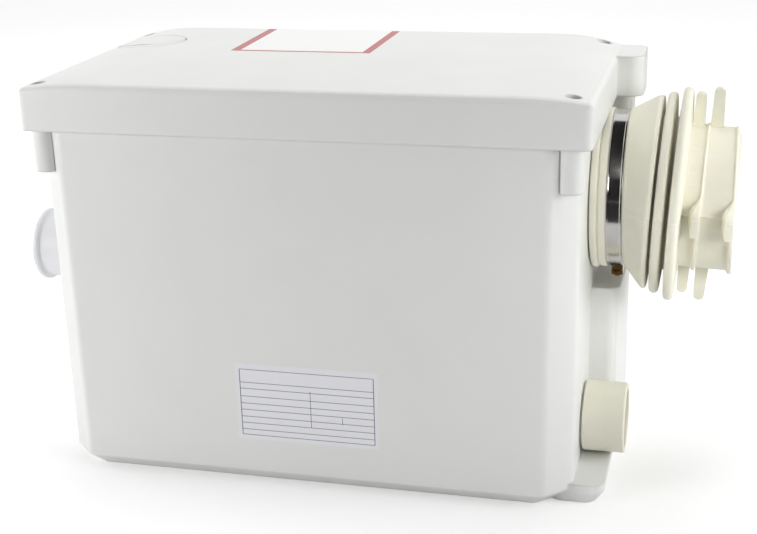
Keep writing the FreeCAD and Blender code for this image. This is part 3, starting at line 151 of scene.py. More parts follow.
def makeCamera(settings):
    data = bpy.data.cameras.new("photoCamera")
    data.sensor_width = settings["sensor"]
    data.lens = settings["focalPixels"] * settings["sensor"] / settings["imageWidth"]
    data.clip_start, data.clip_end = settings["clip"]
    camera = bpy.data.objects.new("photoCamera", data)
    bpy.context.scene.collection.objects.link(camera)
    position = Vector(settings["position"])
    forward = (Vector(settings["target"]) - position).normalized()
    right = forward.cross(Vector((0, 0, 1))).normalized()
    up = right.cross(forward)
    roll = math.radians(settings["roll"])
    across = right * math.cos(roll) + up * math.sin(roll)
    upright = up * math.cos(roll) - right * math.sin(roll)
    turn = Matrix((across, upright, -forward)).transposed()
    camera.matrix_world = Matrix.Translation(position) @ turn.to_4x4()
    bpy.context.scene.camera = camera


makeCamera(cameraView)
print("camera placed")


# studio in metres and watts: white floor, bright world, soft lamps and the sides of a dark room

studio = {
    "worldLight": 0.38, "floorHalf": 6.0, "floorShade": "#F2F2F2", "floorLift": (0.26, 0.6),
    "liftReach": (0.45, 1.6),
    # each lamp: name, place, aim, size and power
    "lamps": [
        ("overheadSoftbox", (-0.1, 0.35, 1.7), (0, 0.05, 0.3), 1.5, 12.5),
        ("leftSoftbox", (-1.0, -1.0, 0.45), (0, 0, 0.2), 0.6, 8.4),
        ("sideSoftbox", (-1.9, 0.35, 0.7), (0, 0, 0.2), 1.0, 7),
        ("rightSoftbox", (1.6, -0.2, 0.75), (0.1, 0, 0.2), 1.1, 10),
        ("sleeveSoftbox", (0.75, -0.5, 0.42), (0.35, 0, 0.2), 0.3, 0.22),
    ],
    # the hidden lamp shows in no reflection, and the narrow one reaches the sleeve and little else
    "hiddenLamp": "overheadSoftbox", "narrowLamp": "sleeveSoftbox", "narrowSpread": 50,
    "roomShade": "#2A2A2C", "roomRoughness": 0.9,
    "room": {
        "darkRoomWall": [(-3, -2.2, 0.05), (3.6, -2.2, 0.05), (3.6, -2.2, 3.8), (-3, -2.2, 3.8)],
        "darkRoomFloor": [(-3, -2.2, 0.002), (3.6, -2.2, 0.002), (3.6, -0.33, 0.002), (-3, -0.33, 0.002)],
        "darkRoomCeiling": [(-3, -2.2, 3.4), (3.6, -2.2, 3.4), (3.6, 2.4, 3.4), (-3, 2.4, 3.4)],
    },
}


def makeWorld(settings):
    world = bpy.data.worlds.new("whiteStudio")
    bpy.context.scene.world = world
    world.use_nodes = True
    tree = world.node_tree
    tree.nodes.clear()
    path = addNode(tree, "ShaderNodeLightPath").outputs
    seen = addNode(tree, "ShaderNodeMath", {0: path["Is Camera Ray"], 1: path["Is Glossy Ray"]},
                   operation="MAXIMUM")
    seen = addNode(tree, "ShaderNodeMath", {0: seen.outputs[0], 1: path["Is Transmission Ray"]},
                   operation="MAXIMUM")
    strength = addNode(tree, "ShaderNodeMapRange", {
        "Value": seen.outputs[0], "To Min": settings["worldLight"]})
    glow = addNode(tree, "ShaderNodeBackground", {"Color": (1, 1, 1, 1), "Strength": strength.outputs[0]})
    addNode(tree, "ShaderNodeOutputWorld", {"Surface": glow.outputs[0]})


def floorPaint(settings):
    # matt white, lifted to pure white for the camera far off, and less near the object, so that the
    # object's shadow stays
    paint, tree, _ = newMaterial("paleStudioFloor")
    tree.nodes.clear()
    path = addNode(tree, "ShaderNodeLightPath")
    matt = addNode(tree, "ShaderNodeBsdfDiffuse", {"Color": linear(settings["floorShade"])})
    place = addNode(tree, "ShaderNodeNewGeometry").outputs["Position"]
    away = addNode(tree, "ShaderNodeVectorMath", {0: place}, operation="LENGTH")
    near, far = settings["liftReach"]
    low, high = settings["floorLift"]
    lift = addNode(tree, "ShaderNodeMapRange", {
        "Value": away.outputs["Value"], "From Min": near, "From Max": far, "To Min": low, "To Max": high})
    shown = addNode(tree, "ShaderNodeMath", {0: lift.outputs[0], 1: path.outputs["Is Camera Ray"]},
                    operation="MULTIPLY")
    glow = addNode(tree, "ShaderNodeEmission", {"Strength": shown.outputs[0]})
    both = addNode(tree, "ShaderNodeAddShader", {0: matt.outputs[0], 1: glow.outputs[0]})
    addNode(tree, "ShaderNodeOutputMaterial", {"Surface": both.outputs[0]})
    return paint


def flatCard(name, corners, material):
    mesh = bpy.data.meshes.new(name)
    mesh.from_pydata(corners, [], [(0, 1, 2, 3)])
    mesh.materials.append(material)
    card = bpy.data.objects.new(name, mesh)
    bpy.context.scene.collection.objects.link(card)
    return card


def makeStudio(settings):
    bpy.context.scene.view_settings.view_transform = "Standard"
    makeWorld(settings)
    half = settings["floorHalf"]
    corners = [(-half, -half, 0), (half, -half, 0), (half, half, 0), (-half, half, 0)]
    ground = flatCard("studioFloor", corners, floorPaint(settings))

    # the room's floor and ceiling show in reflections only, and its wall keeps light off as well
    shade, _, shader = newMaterial("darkRoomPaint")
    shader.inputs["Base Color"].default_value = linear(settings["roomShade"])
    shader.inputs["Roughness"].default_value = settings["roomRoughness"]
    for name, corners in settings["room"].items():
        side = flatCard(name, corners, shade)
        side.visible_camera = False
        if name != "darkRoomWall":
            side.visible_diffuse = side.visible_shadow = False

    for name, place, aim, size, power in settings["lamps"]:
        data = bpy.data.lights.new(name, "AREA")
        data.shape, data.size, data.energy = "DISK", size, power
        lamp = bpy.data.objects.new(name, data)
        bpy.context.scene.collection.objects.link(lamp)
        lamp.location = place
        lamp.rotation_euler = (Vector(aim) - Vector(place)).to_track_quat("-Z", "Y").to_euler()
        if name == settings["hiddenLamp"]:
            lamp.visible_glossy = False
        if name == settings["narrowLamp"]:
            data.spread = math.radians(settings["narrowSpread"])


makeStudio(studio)
print("studio lit")


# materials, on Object coordinates in metres

# the detail of each noise, how far a speck fades out, and the samples of a rounded edge
patterns = {
    "cloudDetail": 3.0, "cloudRoughness": 0.55, "grainDetail": 2.0, "waveDetail": 1.0, "speckFade": 1.6,
    "edgeSamples": 6,
}


def surface(name, settings):
    # base colour clouded towards a second one, roughness that varies with it, and a fine grain over a
    # slow wave
    material, tree, shader = newMaterial(name)
    place = addNode(tree, "ShaderNodeTexCoord").outputs["Object"]
    stretch = addNode(tree, "ShaderNodeMapping", {
        "Vector": place, "Scale": settings.get("stretch", (1, 1, 1))})
    cloud = addNode(tree, "ShaderNodeTexNoise", {
        "Vector": place, "Scale": 1 / (settings["cloud"] * mm), "Detail": patterns["cloudDetail"],
        "Roughness": patterns["cloudRoughness"]}).outputs["Fac"]
    colour = addNode(tree, "ShaderNodeMix", {
        "Factor": cloud, "A": linear(settings["colour"]), "B": linear(settings["shade"])},
        data_type="RGBA").outputs["Result"]
    low, high = settings["rough"]
    rough = addNode(tree, "ShaderNodeMapRange", {"Value": cloud, "To Min": low, "To Max": high})
    tree.links.new(rough.outputs[0], shader.inputs["Roughness"])
    if "specks" in settings:
        dust = addNode(tree, "ShaderNodeTexVoronoi", {
            "Vector": place, "Scale": 1 / (settings["speckGap"] * mm)})
        spots = addNode(tree, "ShaderNodeMapRange", {
            "Value": dust.outputs["Distance"], "From Min": settings["speckSize"],
            "From Max": settings["speckSize"] * patterns["speckFade"], "To Min": 1.0, "To Max": 0.0})
        patch = addNode(tree, "ShaderNodeMath", {0: spots.outputs[0], 1: cloud}, operation="MULTIPLY")
        colour = addNode(tree, "ShaderNodeMix", {
            "Factor": patch.outputs[0], "A": colour, "B": linear(settings["specks"])},
            data_type="RGBA").outputs["Result"]
    tree.links.new(colour, shader.inputs["Base Color"])
    grain = addNode(tree, "ShaderNodeTexNoise", {
        "Vector": stretch.outputs[0], "Scale": 1 / (settings["grain"] * mm),
        "Detail": patterns["grainDetail"]})
    wave = addNode(tree, "ShaderNodeTexNoise", {
        "Vector": place, "Scale": 1 / (settings["wave"] * mm), "Detail": patterns["waveDetail"]})
    slow = addNode(tree, "ShaderNodeBump", {
        "Height": wave.outputs["Fac"], "Distance": settings["waveDepth"] * mm, "Strength": 1.0})
    if "softEdge" in settings:
        edge = addNode(tree, "ShaderNodeBevel", {"Radius": settings["softEdge"] * mm},
                       samples=patterns["edgeSamples"])
        tree.links.new(edge.outputs[0], slow.inputs["Normal"])
    fine = addNode(tree, "ShaderNodeBump", {
        "Height": grain.outputs["Fac"], "Distance": settings["grainDepth"] * mm, "Strength": 1.0,
        "Normal": slow.outputs[0]})
    tree.links.new(fine.outputs[0], shader.inputs["Normal"])
    for socket, value in settings.get("sockets", {}).items():
        shader.inputs[socket].default_value = value
    return material


finishes = {
    # injection-moulded polypropylene: warm white with a soft, slightly wavy gloss and rounded edges
    "whitePolypropylene": {
        "colour": "#EFF0EE", "shade": "#E9EAE7", "cloud": 60, "rough": (0.3, 0.42), "grain": 0.7,
        "grainDepth": 0.006, "wave": 45, "waveDepth": 0.3, "softEdge": 3.0, "sockets": {"IOR": 1.49}},
    # the blanking cap is a second batch of the same plastic, a little bluer
    "coolPolypropylene": {
        "colour": "#EDEDF0", "shade": "#E8E8EC", "cloud": 30, "rough": (0.3, 0.4), "grain": 0.7,
        "grainDepth": 0.006, "wave": 30, "waveDepth": 0.15, "sockets": {"IOR": 1.49}},
    # moulded cream EPDM: satin, faintly yellow, with pale talc specks left from the mould
    "creamRubber": {
        "colour": "#F0EEDF", "shade": "#EAE7D4", "cloud": 22, "rough": (0.48, 0.62), "grain": 0.5,
        "grainDepth": 0.02, "wave": 18, "waveDepth": 0.12, "specks": "#F8F7EE", "speckGap": 6,
        "speckSize": 0.07, "sockets": {"IOR": 1.52, "Sheen Weight": 0.08}},
    # rolled stainless strip: bright, with fine rolling lines round the band
    "rolledStainless": {
        "colour": "#D5D3D0", "shade": "#C6C4C1", "cloud": 14, "rough": (0.1, 0.17), "grain": 0.35,
        "grainDepth": 0.002, "wave": 20, "waveDepth": 0.05, "stretch": (1, 0.05, 0.05),
        "sockets": {"Metallic": 1.0}},
    # painted shade for the inside of a slot or pin hole: dull, nearly black
    "slotShadow": {
        "colour": "#1C1B1A", "shade": "#262524", "cloud": 4, "rough": (0.55, 0.7), "grain": 0.4,
        "grainDepth": 0.004, "wave": 6, "waveDepth": 0.01, "sockets": {"IOR": 1.5}},
    # turned stainless for pins, shaft and screws: bright with a soft shine
    "turnedStainless": {
        "colour": "#C9C8C6", "shade": "#B9B8B6", "cloud": 8, "rough": (0.2, 0.3), "grain": 0.3,
        "grainDepth": 0.003, "wave": 12, "waveDepth": 0.02, "sockets": {"Metallic": 1.0}},
    # yellow-passivated brass: warm, slightly dulled in the recesses
    "passivatedBrass": {
        "colour": "#8E6A36", "shade": "#5E4524", "cloud": 3, "rough": (0.28, 0.42), "grain": 0.3,
        "grainDepth": 0.006, "wave": 6, "waveDepth": 0.02, "sockets": {"Metallic": 1.0}},
    # nitrile rubber for seals, feet and flaps: matt black
    "nitrileRubber": {
        "colour": "#242423", "shade": "#1B1B1B", "cloud": 15, "rough": (0.6, 0.75), "grain": 0.4,
        "grainDepth": 0.015, "wave": 12, "waveDepth": 0.05, "sockets": {"IOR": 1.52}},
    # carbon-loaded felt: black and fibrous
    "carbonFelt": {
        "colour": "#1E1E1F", "shade": "#2C2C2D", "cloud": 5, "rough": (0.85, 0.95), "grain": 0.5,
        "grainDepth": 0.12, "wave": 8, "waveDepth": 0.2, "sockets": {"Sheen Weight": 0.2}},
    # glass-filled polypropylene of the pump: mid grey, dull, with flow marks
    "glassFilledPlastic": {
        "colour": "#8E9094", "shade": "#84868A", "cloud": 18, "rough": (0.45, 0.58), "grain": 0.4,
        "grainDepth": 0.012, "wave": 20, "waveDepth": 0.08, "sockets": {"IOR": 1.5}},
    # black nylon of the gland and microswitch: satin
    "blackNylon": {
        "colour": "#202022", "shade": "#29292B", "cloud": 12, "rough": (0.38, 0.5), "grain": 0.4,
        "grainDepth": 0.01, "wave": 12, "waveDepth": 0.05, "sockets": {"IOR": 1.53}},
    # natural nylon: ivory and slightly waxy
    "naturalNylon": {
        "colour": "#DDD8C9", "shade": "#D4CEBC", "cloud": 8, "rough": (0.35, 0.45), "grain": 0.4,
        "grainDepth": 0.006, "wave": 10, "waveDepth": 0.03, "sockets": {"IOR": 1.53}},
    # lapped ceramic of the seal face: pale and smooth, nearly polished
    "lappedCeramic": {
        "colour": "#D9D3C2", "shade": "#CFC8B6", "cloud": 6, "rough": (0.18, 0.25), "grain": 0.2,
        "grainDepth": 0.002, "wave": 10, "waveDepth": 0.01, "sockets": {"IOR": 1.76}},
    # varnished laminated core: dark grey with fine plate lines across the stack
    "laminatedSteel": {
        "colour": "#56565A", "shade": "#47474B", "cloud": 10, "rough": (0.35, 0.5), "grain": 0.5,
        "grainDepth": 0.05, "wave": 16, "waveDepth": 0.02, "stretch": (0.02, 0.02, 1),
        "sockets": {"Metallic": 0.8}},
    # enamelled winding wire: copper seen through amber lacquer, with turns 0.8 mm apart
    "enamelledCopper": {
        "colour": "#B5693B", "shade": "#9A5529", "cloud": 6, "rough": (0.25, 0.38), "grain": 0.8,
        "grainDepth": 0.12, "wave": 9, "waveDepth": 0.1, "stretch": (0.1, 0.1, 1),
        "sockets": {"Metallic": 0.9, "Coat Weight": 0.5}},
    # drawn aluminium can of the capacitor: light grey with fine lines along it
    "drawnAluminium": {
        "colour": "#CFD0D2", "shade": "#C3C4C6", "cloud": 12, "rough": (0.28, 0.36), "grain": 0.4,
        "grainDepth": 0.005, "wave": 14, "waveDepth": 0.03, "stretch": (0.05, 1, 1),
        "sockets": {"Metallic": 1.0}},
}
made = {name: surface(name, settings) for name, settings in finishes.items()}

nodeFinish = {
    "whitePolypropylene": "tank lid vent_cap",
    "coolPolypropylene": "side_inlet_cap",
    "creamRubber": "lower_inlet_sleeve wc_sleeve",
    "rolledStainless": "clamp_band clamp_housing macerator_screen",
    "turnedStainless": "lid_screws rotor_shaft lower_bearing upper_bearing cutter inlet_flap_pin "
                       "check_flap_pin",
    "passivatedBrass": "clamp_screw shaft_spacer",
    "nitrileRubber": "lid_seal inlet_flap rubber_mounts check_flap switch_diaphragm",
    "carbonFelt": "vent_filter",
    "glassFilledPlastic": "pump_volute suction_cover impeller motor_housing motor_cover electrics_box "
                          "electrics_lid discharge_elbow check_valve_body discharge_riser "
                          "discharge_spout air_bell switch_housing",
    "blackNylon": "microswitch cable_gland",
    "naturalNylon": "terminal_block switch_button",
    "lappedCeramic": "shaft_seal",
    "laminatedSteel": "rotor_core stator_core",
    "enamelledCopper": "stator_windings",
    "drawnAluminium": "run_capacitor",
}
for finish, names in nodeFinish.items():
    for name in names.split():
        nodes[name].data.materials.clear()
        nodes[name].data.materials.append(made[finish])
print("materials on the CAD nodes:", sum(len(names.split()) for names in nodeFinish.values()))


# toilet sleeve: cuff, cone, pleats, neck lips and end collar in one rubber moulding

sleeve = {
    "pivot": (250, 15, 236), "mitre": 3, "droop": 3, "sag": 1.9, "sagReach": 10, "turns": 300, "steps": 4,
    "turnedBack": 3.0, "turnedReach": (68, 85.5), "turnedOutside": 54,
    "neck": 59, "farSide": (180.05, 359.95),
    "recess": 3.2, "recessGrows": (90.3, 92), "recessFades": (150, 100),
    # each lip: root width, face width and height
    "lipEnds": (58.9, 85.2), "lipRoot": 0.1, "lipRounds": (0.4, 0.8, 0.7), "thinLip": (1.5, 1.5, 1.6),
    "thickLip": (3.8, 2.8, 2.8), "thickGrows": (98, 104), "thickFades": (192, 181),
    "ear": (9.0, 6.0, 15.5), "earGrows": (74, 88), "earFades": (104.5, 101),
    # the half pleats stand on the far side only, and lie flat on the neck on the near side
    "farPleats": {
        "radii": (86, 91), "round": 4.2, "first": (45.0, 45.7, 53.9, 55.0), "second": (60.0, 68.6, 70.2)},
    "nearPleats": {
        "flat": 0.06, "round": 0.02, "first": (45.0, 45.4, 45.9, 46.3), "second": (60.0, 60.5, 61.0)},
    # low steps on the neck, each (along, height, rounding), and the height at a half pleat's foot
    "lowSteps": [(44.9, 0.02, 1.2), (58.95, 0.5, 0.2), (59.3, 0.5, 0.1)], "foot": 0.04,
    # the mould's parting line, a low ridge outside the bore
    "partingHeight": 0.6, "partingWidth": 0.9, "partingFrom": (1.5, 56.5),
    # corners of the profile, each (along, radius, rounding)
    "cuff": [
        (-27.7, 60.56, 0.2), (-27.7, 67.4, 2.2), (-22.6, 67.6, 1.7), (-22.0, 65.3, 0.5), (-20.9, 65.3, 0.5),
        (-20.3, 66.5, 0.7), (-15.2, 66.5, 0.8), (-14.9, 64.82, 0.2), (-1.6, 64.82, 0.2), (-1.3, 66.0, 0.5)],
    "cone": [(0.6, 67.2, 2.4), (17.4, 81.0, 2.6), (20.9, 80.0, 1.7), (21.5, 64.0, 0.8), (22.7, 64.0, 0.8)],
    "pleats": [(24.0, 83.8, 3.2), (31.0, 83.8, 3.2), (32.6, 63.5, 1.5), (34.0, 63.5, 1.0),
               (35.8, 88.6, 3.6), (43.4, 88.6, 3.6)],
    "bore": [
        (85.5, 50.52, 0.9), (65.5, 50.52, 0.5), (65.5, 55.0, 0.5), (20.0, 55.0, 1.0), (17.0, 71.5, 2.0),
        (6.0, 60.05, 3.0), (0.3, 60.05, 0.1), (0.3, 60.56, 0.1)],
    # finer angles: (step, count) about the parting line, the seams' step, (from, to, step) at the ledge
    "partingTurns": (0.12, 12), "seamTurn": 0.1, "ledgeTurns": (91, 103, 0.25), "leastTurn": 0.06,
}


def lipShape(degrees):
    # a thin lip over the top, an ear on the parting line, a thick lip below
    shape = Vector(sleeve["thinLip"])
    thick = smoothStep(degrees, *sleeve["thickGrows"]) * smoothStep(degrees, *sleeve["thickFades"])
    shape = shape.lerp(Vector(sleeve["thickLip"]), thick)
    ear = smoothStep(degrees, *sleeve["earGrows"]) * smoothStep(degrees, *sleeve["earFades"])
    return shape.lerp(Vector(sleeve["ear"]), ear)


def sleeveProfile(angle):
    degrees = math.degrees(angle) % 360
    neck = sleeve["neck"]
    root, face, rise = lipShape(degrees)
    tall = neck + rise
    if sleeve["farSide"][0] < degrees < sleeve["farSide"][1]:
        pleats = sleeve["farPleats"]
        halfHigh, wholeHigh = pleats["radii"]
    else:
        pleats = sleeve["nearPleats"]
        grown = smoothStep(degrees, *sleeve["recessGrows"])
        neck = neck - sleeve["recess"] * grown * smoothStep(degrees, *sleeve["recessFades"])
        halfHigh = wholeHigh = neck + pleats["flat"]
    high = pleats["round"]
    foot = high / 3
    first, second = pleats["first"], pleats["second"]
    rounds = sleeve["lipRounds"]
    lips = [[(end - root, neck + sleeve["lipRoot"], rounds[0]), (end - face, tall, rounds[1]),
             (end, tall, rounds[2])] for end in sleeve["lipEnds"]]
    steps = [(along, neck + above, rounding) for along, above, rounding in sleeve["lowSteps"]]
    low = neck + sleeve["foot"]
    corners = [
        *sleeve["cuff"], *sleeve["cone"], *sleeve["pleats"], steps[0],
        (first[0], low, foot), (first[1], halfHigh, high), (first[2], halfHigh, high),
        (first[3], low, foot),
        *lips[0], *steps[1:],
        (second[0], wholeHigh, high), (second[1], wholeHigh, high), (second[2], neck, foot),
        *lips[1], *sleeve["bore"],
    ]
    nearest = math.radians(min(abs(degrees - 90), abs(degrees - 270)))
    out = []
    for along, radius in eased(corners, sleeve["steps"]):
        if along > sleeve["partingFrom"][0] and radius > sleeve["partingFrom"][1]:
            gap = nearest * radius
            radius += sleeve["partingHeight"] * math.exp(-(gap / sleeve["partingWidth"]) ** 2)
        out.append((along, radius))
    return out


def onSleeve(along, radius, angle):
    # straight before the mitre, drooping past it, with the outside of the end turned back upright
    tilt = math.radians(sleeve["droop"])
    px, py, pz = sleeve["pivot"]
    past = along - sleeve["mitre"]
    lean = tilt * smoothStep(along, 0, 2 * sleeve["mitre"])
    if radius > sleeve["turnedOutside"]:
        lean -= math.radians(sleeve["turnedBack"]) * smoothStep(along, *sleeve["turnedReach"])
    run = (past * math.cos(tilt), -past * math.sin(tilt)) if past > 0 else (past, 0)
    sag = sleeve["sag"] * smoothStep(along, 0, sleeve["sagReach"])
    x = px + sleeve["mitre"] + run[0] + radius * math.cos(angle) * math.sin(lean)
    y = py - radius * math.sin(angle)
    z = pz + run[1] - sag + radius * math.cos(angle) * math.cos(lean)
    return Vector((x, y, z)) * mm


def sleeveAngles():
    # even turns, and finer ones at the parting line, at the half pleats' seams and along the ledge
    step, count = sleeve["partingTurns"]
    low, high, ledgeStep = sleeve["ledgeTurns"]
    finer = [middle + step * turn for middle in (90, 270) for turn in range(-count, count + 1)]
    finer += [middle + turn for middle in (0, 180) for turn in (-sleeve["seamTurn"], sleeve["seamTurn"])]
    finer += [low + ledgeStep * turn for turn in range(round((high - low) / ledgeStep))]
    angles = set(evenAngles(sleeve["turns"])) | {math.radians(turn) % (2 * math.pi) for turn in finer}
    kept = []
    for angle in sorted(angles):
        if not kept or angle - kept[-1] > math.radians(sleeve["leastTurn"]):
            kept.append(angle)
    return kept


rubber = turned("toiletSleeve", sleeveProfile, onSleeve, sleeveAngles())
newObject("toiletSleeve", rubber, made["creamRubber"], replaced=["wc_sleeve"])
print("toilet sleeve:", len(rubber.polygons), "faces")


# band clamp: rolled strip with turned-up edges

band = {
    "inside": 64.85, "thick": 0.9, "from": 235.5, "wide": 12.5, "turns": 240, "steps": 3,
    "rim": 1.2, "slope": 1.8, "sunk": 0.25,
}


def stripProfile():
    low, high = band["inside"], band["inside"] + band["thick"]
    left, right = band["from"], band["from"] + band["wide"]
    rim, slope, middle = band["rim"], band["slope"], high - band["sunk"]
    return eased([(left, low, 0.1), (right, low, 0.1), (right, high, 0.3), (right - rim, high, 0.4),
                  (right - slope, middle, 0.5), (left + slope, middle, 0.5), (left + rim, high, 0.4),
                  (left, high, 0.3)], band["steps"])


def onSpigot(along, radius, angle):
    return Vector((along, sleeve["pivot"][1] - radius * math.sin(angle),
                   sleeve["pivot"][2] + radius * math.cos(angle))) * mm


stripPoints = stripProfile()
strip = turned("clampStrip", lambda angle: stripPoints, onSpigot, evenAngles(band["turns"]))
newObject("clampStrip", strip, made["rolledStainless"], replaced=["clamp_band"])
print("clamp strip done")


# dark boxes set into the strip beside its housing: painted shade where the slots that the worm drives stand

wormSlotShade = {
    "Count": 22, "Radius": 65.62 * mm, "Pitch": 3.2 * mm, "Slot Length": 8.0 * mm, "Slot Width": 1.5 * mm,
    "Slot Depth": 0.5 * mm, "Slant": math.radians(7), "Along": 241.75 * mm,
    "Height": sleeve["pivot"][2] * mm, "Across": sleeve["pivot"][1] * mm,
}


def slotTree():
    # small slanted boxes of painted slot shade on an arc round the bottom of the strip, turned from the XY
    # into the YZ plane
    tree = bpy.data.node_groups.new("slotsRoundStrip", "GeometryNodeTree")
    kinds = {"Count": "NodeSocketInt", "Material": "NodeSocketMaterial"}
    for name in [*wormSlotShade, "Material"]:
        tree.interface.new_socket(name, in_out="INPUT", socket_type=kinds.get(name, "NodeSocketFloat"))
    tree.interface.new_socket("Geometry", in_out="OUTPUT", socket_type="NodeSocketGeometry")
    given = addNode(tree, "NodeGroupInput").outputs

    # each slot's turn on the arc, counted from the middle one
    index = addNode(tree, "GeometryNodeInputIndex")
    last = addNode(tree, "ShaderNodeMath", {0: given["Count"], 1: 1.0}, operation="SUBTRACT")
    centre = addNode(tree, "ShaderNodeMath", {0: last.outputs[0], 1: 2.0}, operation="DIVIDE")
    centred = addNode(tree, "ShaderNodeMath", {0: index.outputs[0], 1: centre.outputs[0]},
                      operation="SUBTRACT")
    step = addNode(tree, "ShaderNodeMath", {0: given["Pitch"], 1: given["Radius"]}, operation="DIVIDE")
    turn = addNode(tree, "ShaderNodeMath", {0: centred.outputs[0], 1: step.outputs[0]},
                   operation="MULTIPLY")

    cosine = addNode(tree, "ShaderNodeMath", {0: turn.outputs[0]}, operation="COSINE")
    sine = addNode(tree, "ShaderNodeMath", {0: turn.outputs[0]}, operation="SINE")
    x = addNode(tree, "ShaderNodeMath", {0: given["Radius"], 1: cosine.outputs[0]}, operation="MULTIPLY")
    y = addNode(tree, "ShaderNodeMath", {0: given["Radius"], 1: sine.outputs[0]}, operation="MULTIPLY")
    place = addNode(tree, "ShaderNodeCombineXYZ", {"X": x.outputs[0], "Y": y.outputs[0]})
    points = addNode(tree, "GeometryNodePoints", {"Count": given["Count"], "Position": place.outputs[0]})

    size = addNode(tree, "ShaderNodeCombineXYZ", {
        "X": given["Slot Depth"], "Y": given["Slot Width"], "Z": given["Slot Length"]})
    slot = addNode(tree, "GeometryNodeMeshCube", {"Size": size.outputs[0]})
    lean = addNode(tree, "ShaderNodeCombineXYZ", {"X": given["Slant"]})
    leaning = addNode(tree, "GeometryNodeTransform", {
        "Geometry": slot.outputs["Mesh"], "Rotation": lean.outputs[0]})
    facing = addNode(tree, "ShaderNodeCombineXYZ", {"Z": turn.outputs[0]})
    rows = addNode(tree, "GeometryNodeInstanceOnPoints", {
        "Points": points.outputs[0], "Instance": leaning.outputs[0], "Rotation": facing.outputs[0]})
    middle = addNode(tree, "ShaderNodeCombineXYZ", {
        "X": given["Along"], "Y": given["Across"], "Z": given["Height"]})
    upright = addNode(tree, "GeometryNodeTransform", {
        "Geometry": rows.outputs[0], "Translation": middle.outputs[0], "Rotation": (0, math.pi / 2, 0)})
    real = addNode(tree, "GeometryNodeRealizeInstances", {"Geometry": upright.outputs[0]})
    painted = addNode(tree, "GeometryNodeSetMaterial", {
        "Geometry": real.outputs[0], "Material": given["Material"]})
    addNode(tree, "NodeGroupOutput", {"Geometry": painted.outputs[0]})
    return tree


def repeatedMesh(name, tree, values):
    # the tree's result as a plain mesh, with the modifier gone before the piece is made
    carrier = bpy.data.objects.new(name + "Carrier", bpy.data.meshes.new(name + "Carrier"))
    bpy.context.scene.collection.objects.link(carrier)
    modifier = carrier.modifiers.new("slots", "NODES")
    modifier.node_group = tree
    for socket in tree.interface.items_tree:
        if socket.in_out == "INPUT":
            modifier[socket.identifier] = values[socket.name]
    bpy.context.view_layer.update()
    mesh = bpy.data.meshes.new_from_object(carrier.evaluated_get(bpy.context.evaluated_depsgraph_get()))
    carrier.modifiers.clear()
    bpy.data.objects.remove(carrier)
    mesh.name = name
    return mesh


# the boxes take the slot shadow material: painted shade, not cut slots
slots = repeatedMesh("wormSlotShade", slotTree(), {**wormSlotShade, "Material": made["slotShadow"]})
newObject("wormSlotShade", slots, None)
print("worm slots:", len(slots.polygons), "faces")


# blanking cap on the left and rubber pipe sleeve low on the right

inlets = {
    "along": -36, "turns": 128, "steps": 5,
    "cap": {"from": -222.3, "way": -1, "height": 175.5, "outline": [
        (0, 25.6, 0.2), (0, 28.8, 0.6), (36.4, 28.8, 1.5), (36.9, 31.8, 2.0), (41.7, 31.8, 2.4),
        (41.7, 26.0, 2.2), (39.7, 24.0, 1.5), (40.0, 0, 0), (34.5, 0, 0), (34.5, 25.6, 1.5)]},
    "low": {"from": 222.3, "way": 1, "height": 49, "outline": [
        (0, 25.6, 0.2), (0, 29.7, 0.8), (34.7, 29.7, 1.6), (34.7, 24.75, 1.0), (16.3, 24.75, 0.2),
        (16.3, 25.6, 0.2)]},
}


def lathe(name, settings):
    # an eased outline turned about an axis along X that starts at the tank's wall
    def place(along, radius, angle):
        return Vector((settings["from"] + settings["way"] * along,
                       inlets["along"] + radius * math.sin(angle),
                       settings["height"] + radius * math.cos(angle))) * mm
    points = eased(settings["outline"], inlets["steps"])
    return turned(name, lambda angle: points, place, evenAngles(inlets["turns"]))


newObject("blankingCap", lathe("blankingCap", inlets["cap"]), made["coolPolypropylene"],
          replaced=["side_inlet_cap"])
newObject("pipeSleeve", lathe("pipeSleeve", inlets["low"]), made["creamRubber"],
          replaced=["lower_inlet_sleeve"])
print("cap and pipe sleeve done")


# paper for the labels, and thin cards laid on the plastic

# the fibre's scale is per millimetre, and the gap is what a card keeps from the skin under it
paperFinish = {"fibreScale": 1.2, "fibreDetail": 4.0, "fibreDepth": 0.01, "gap": 0.02}


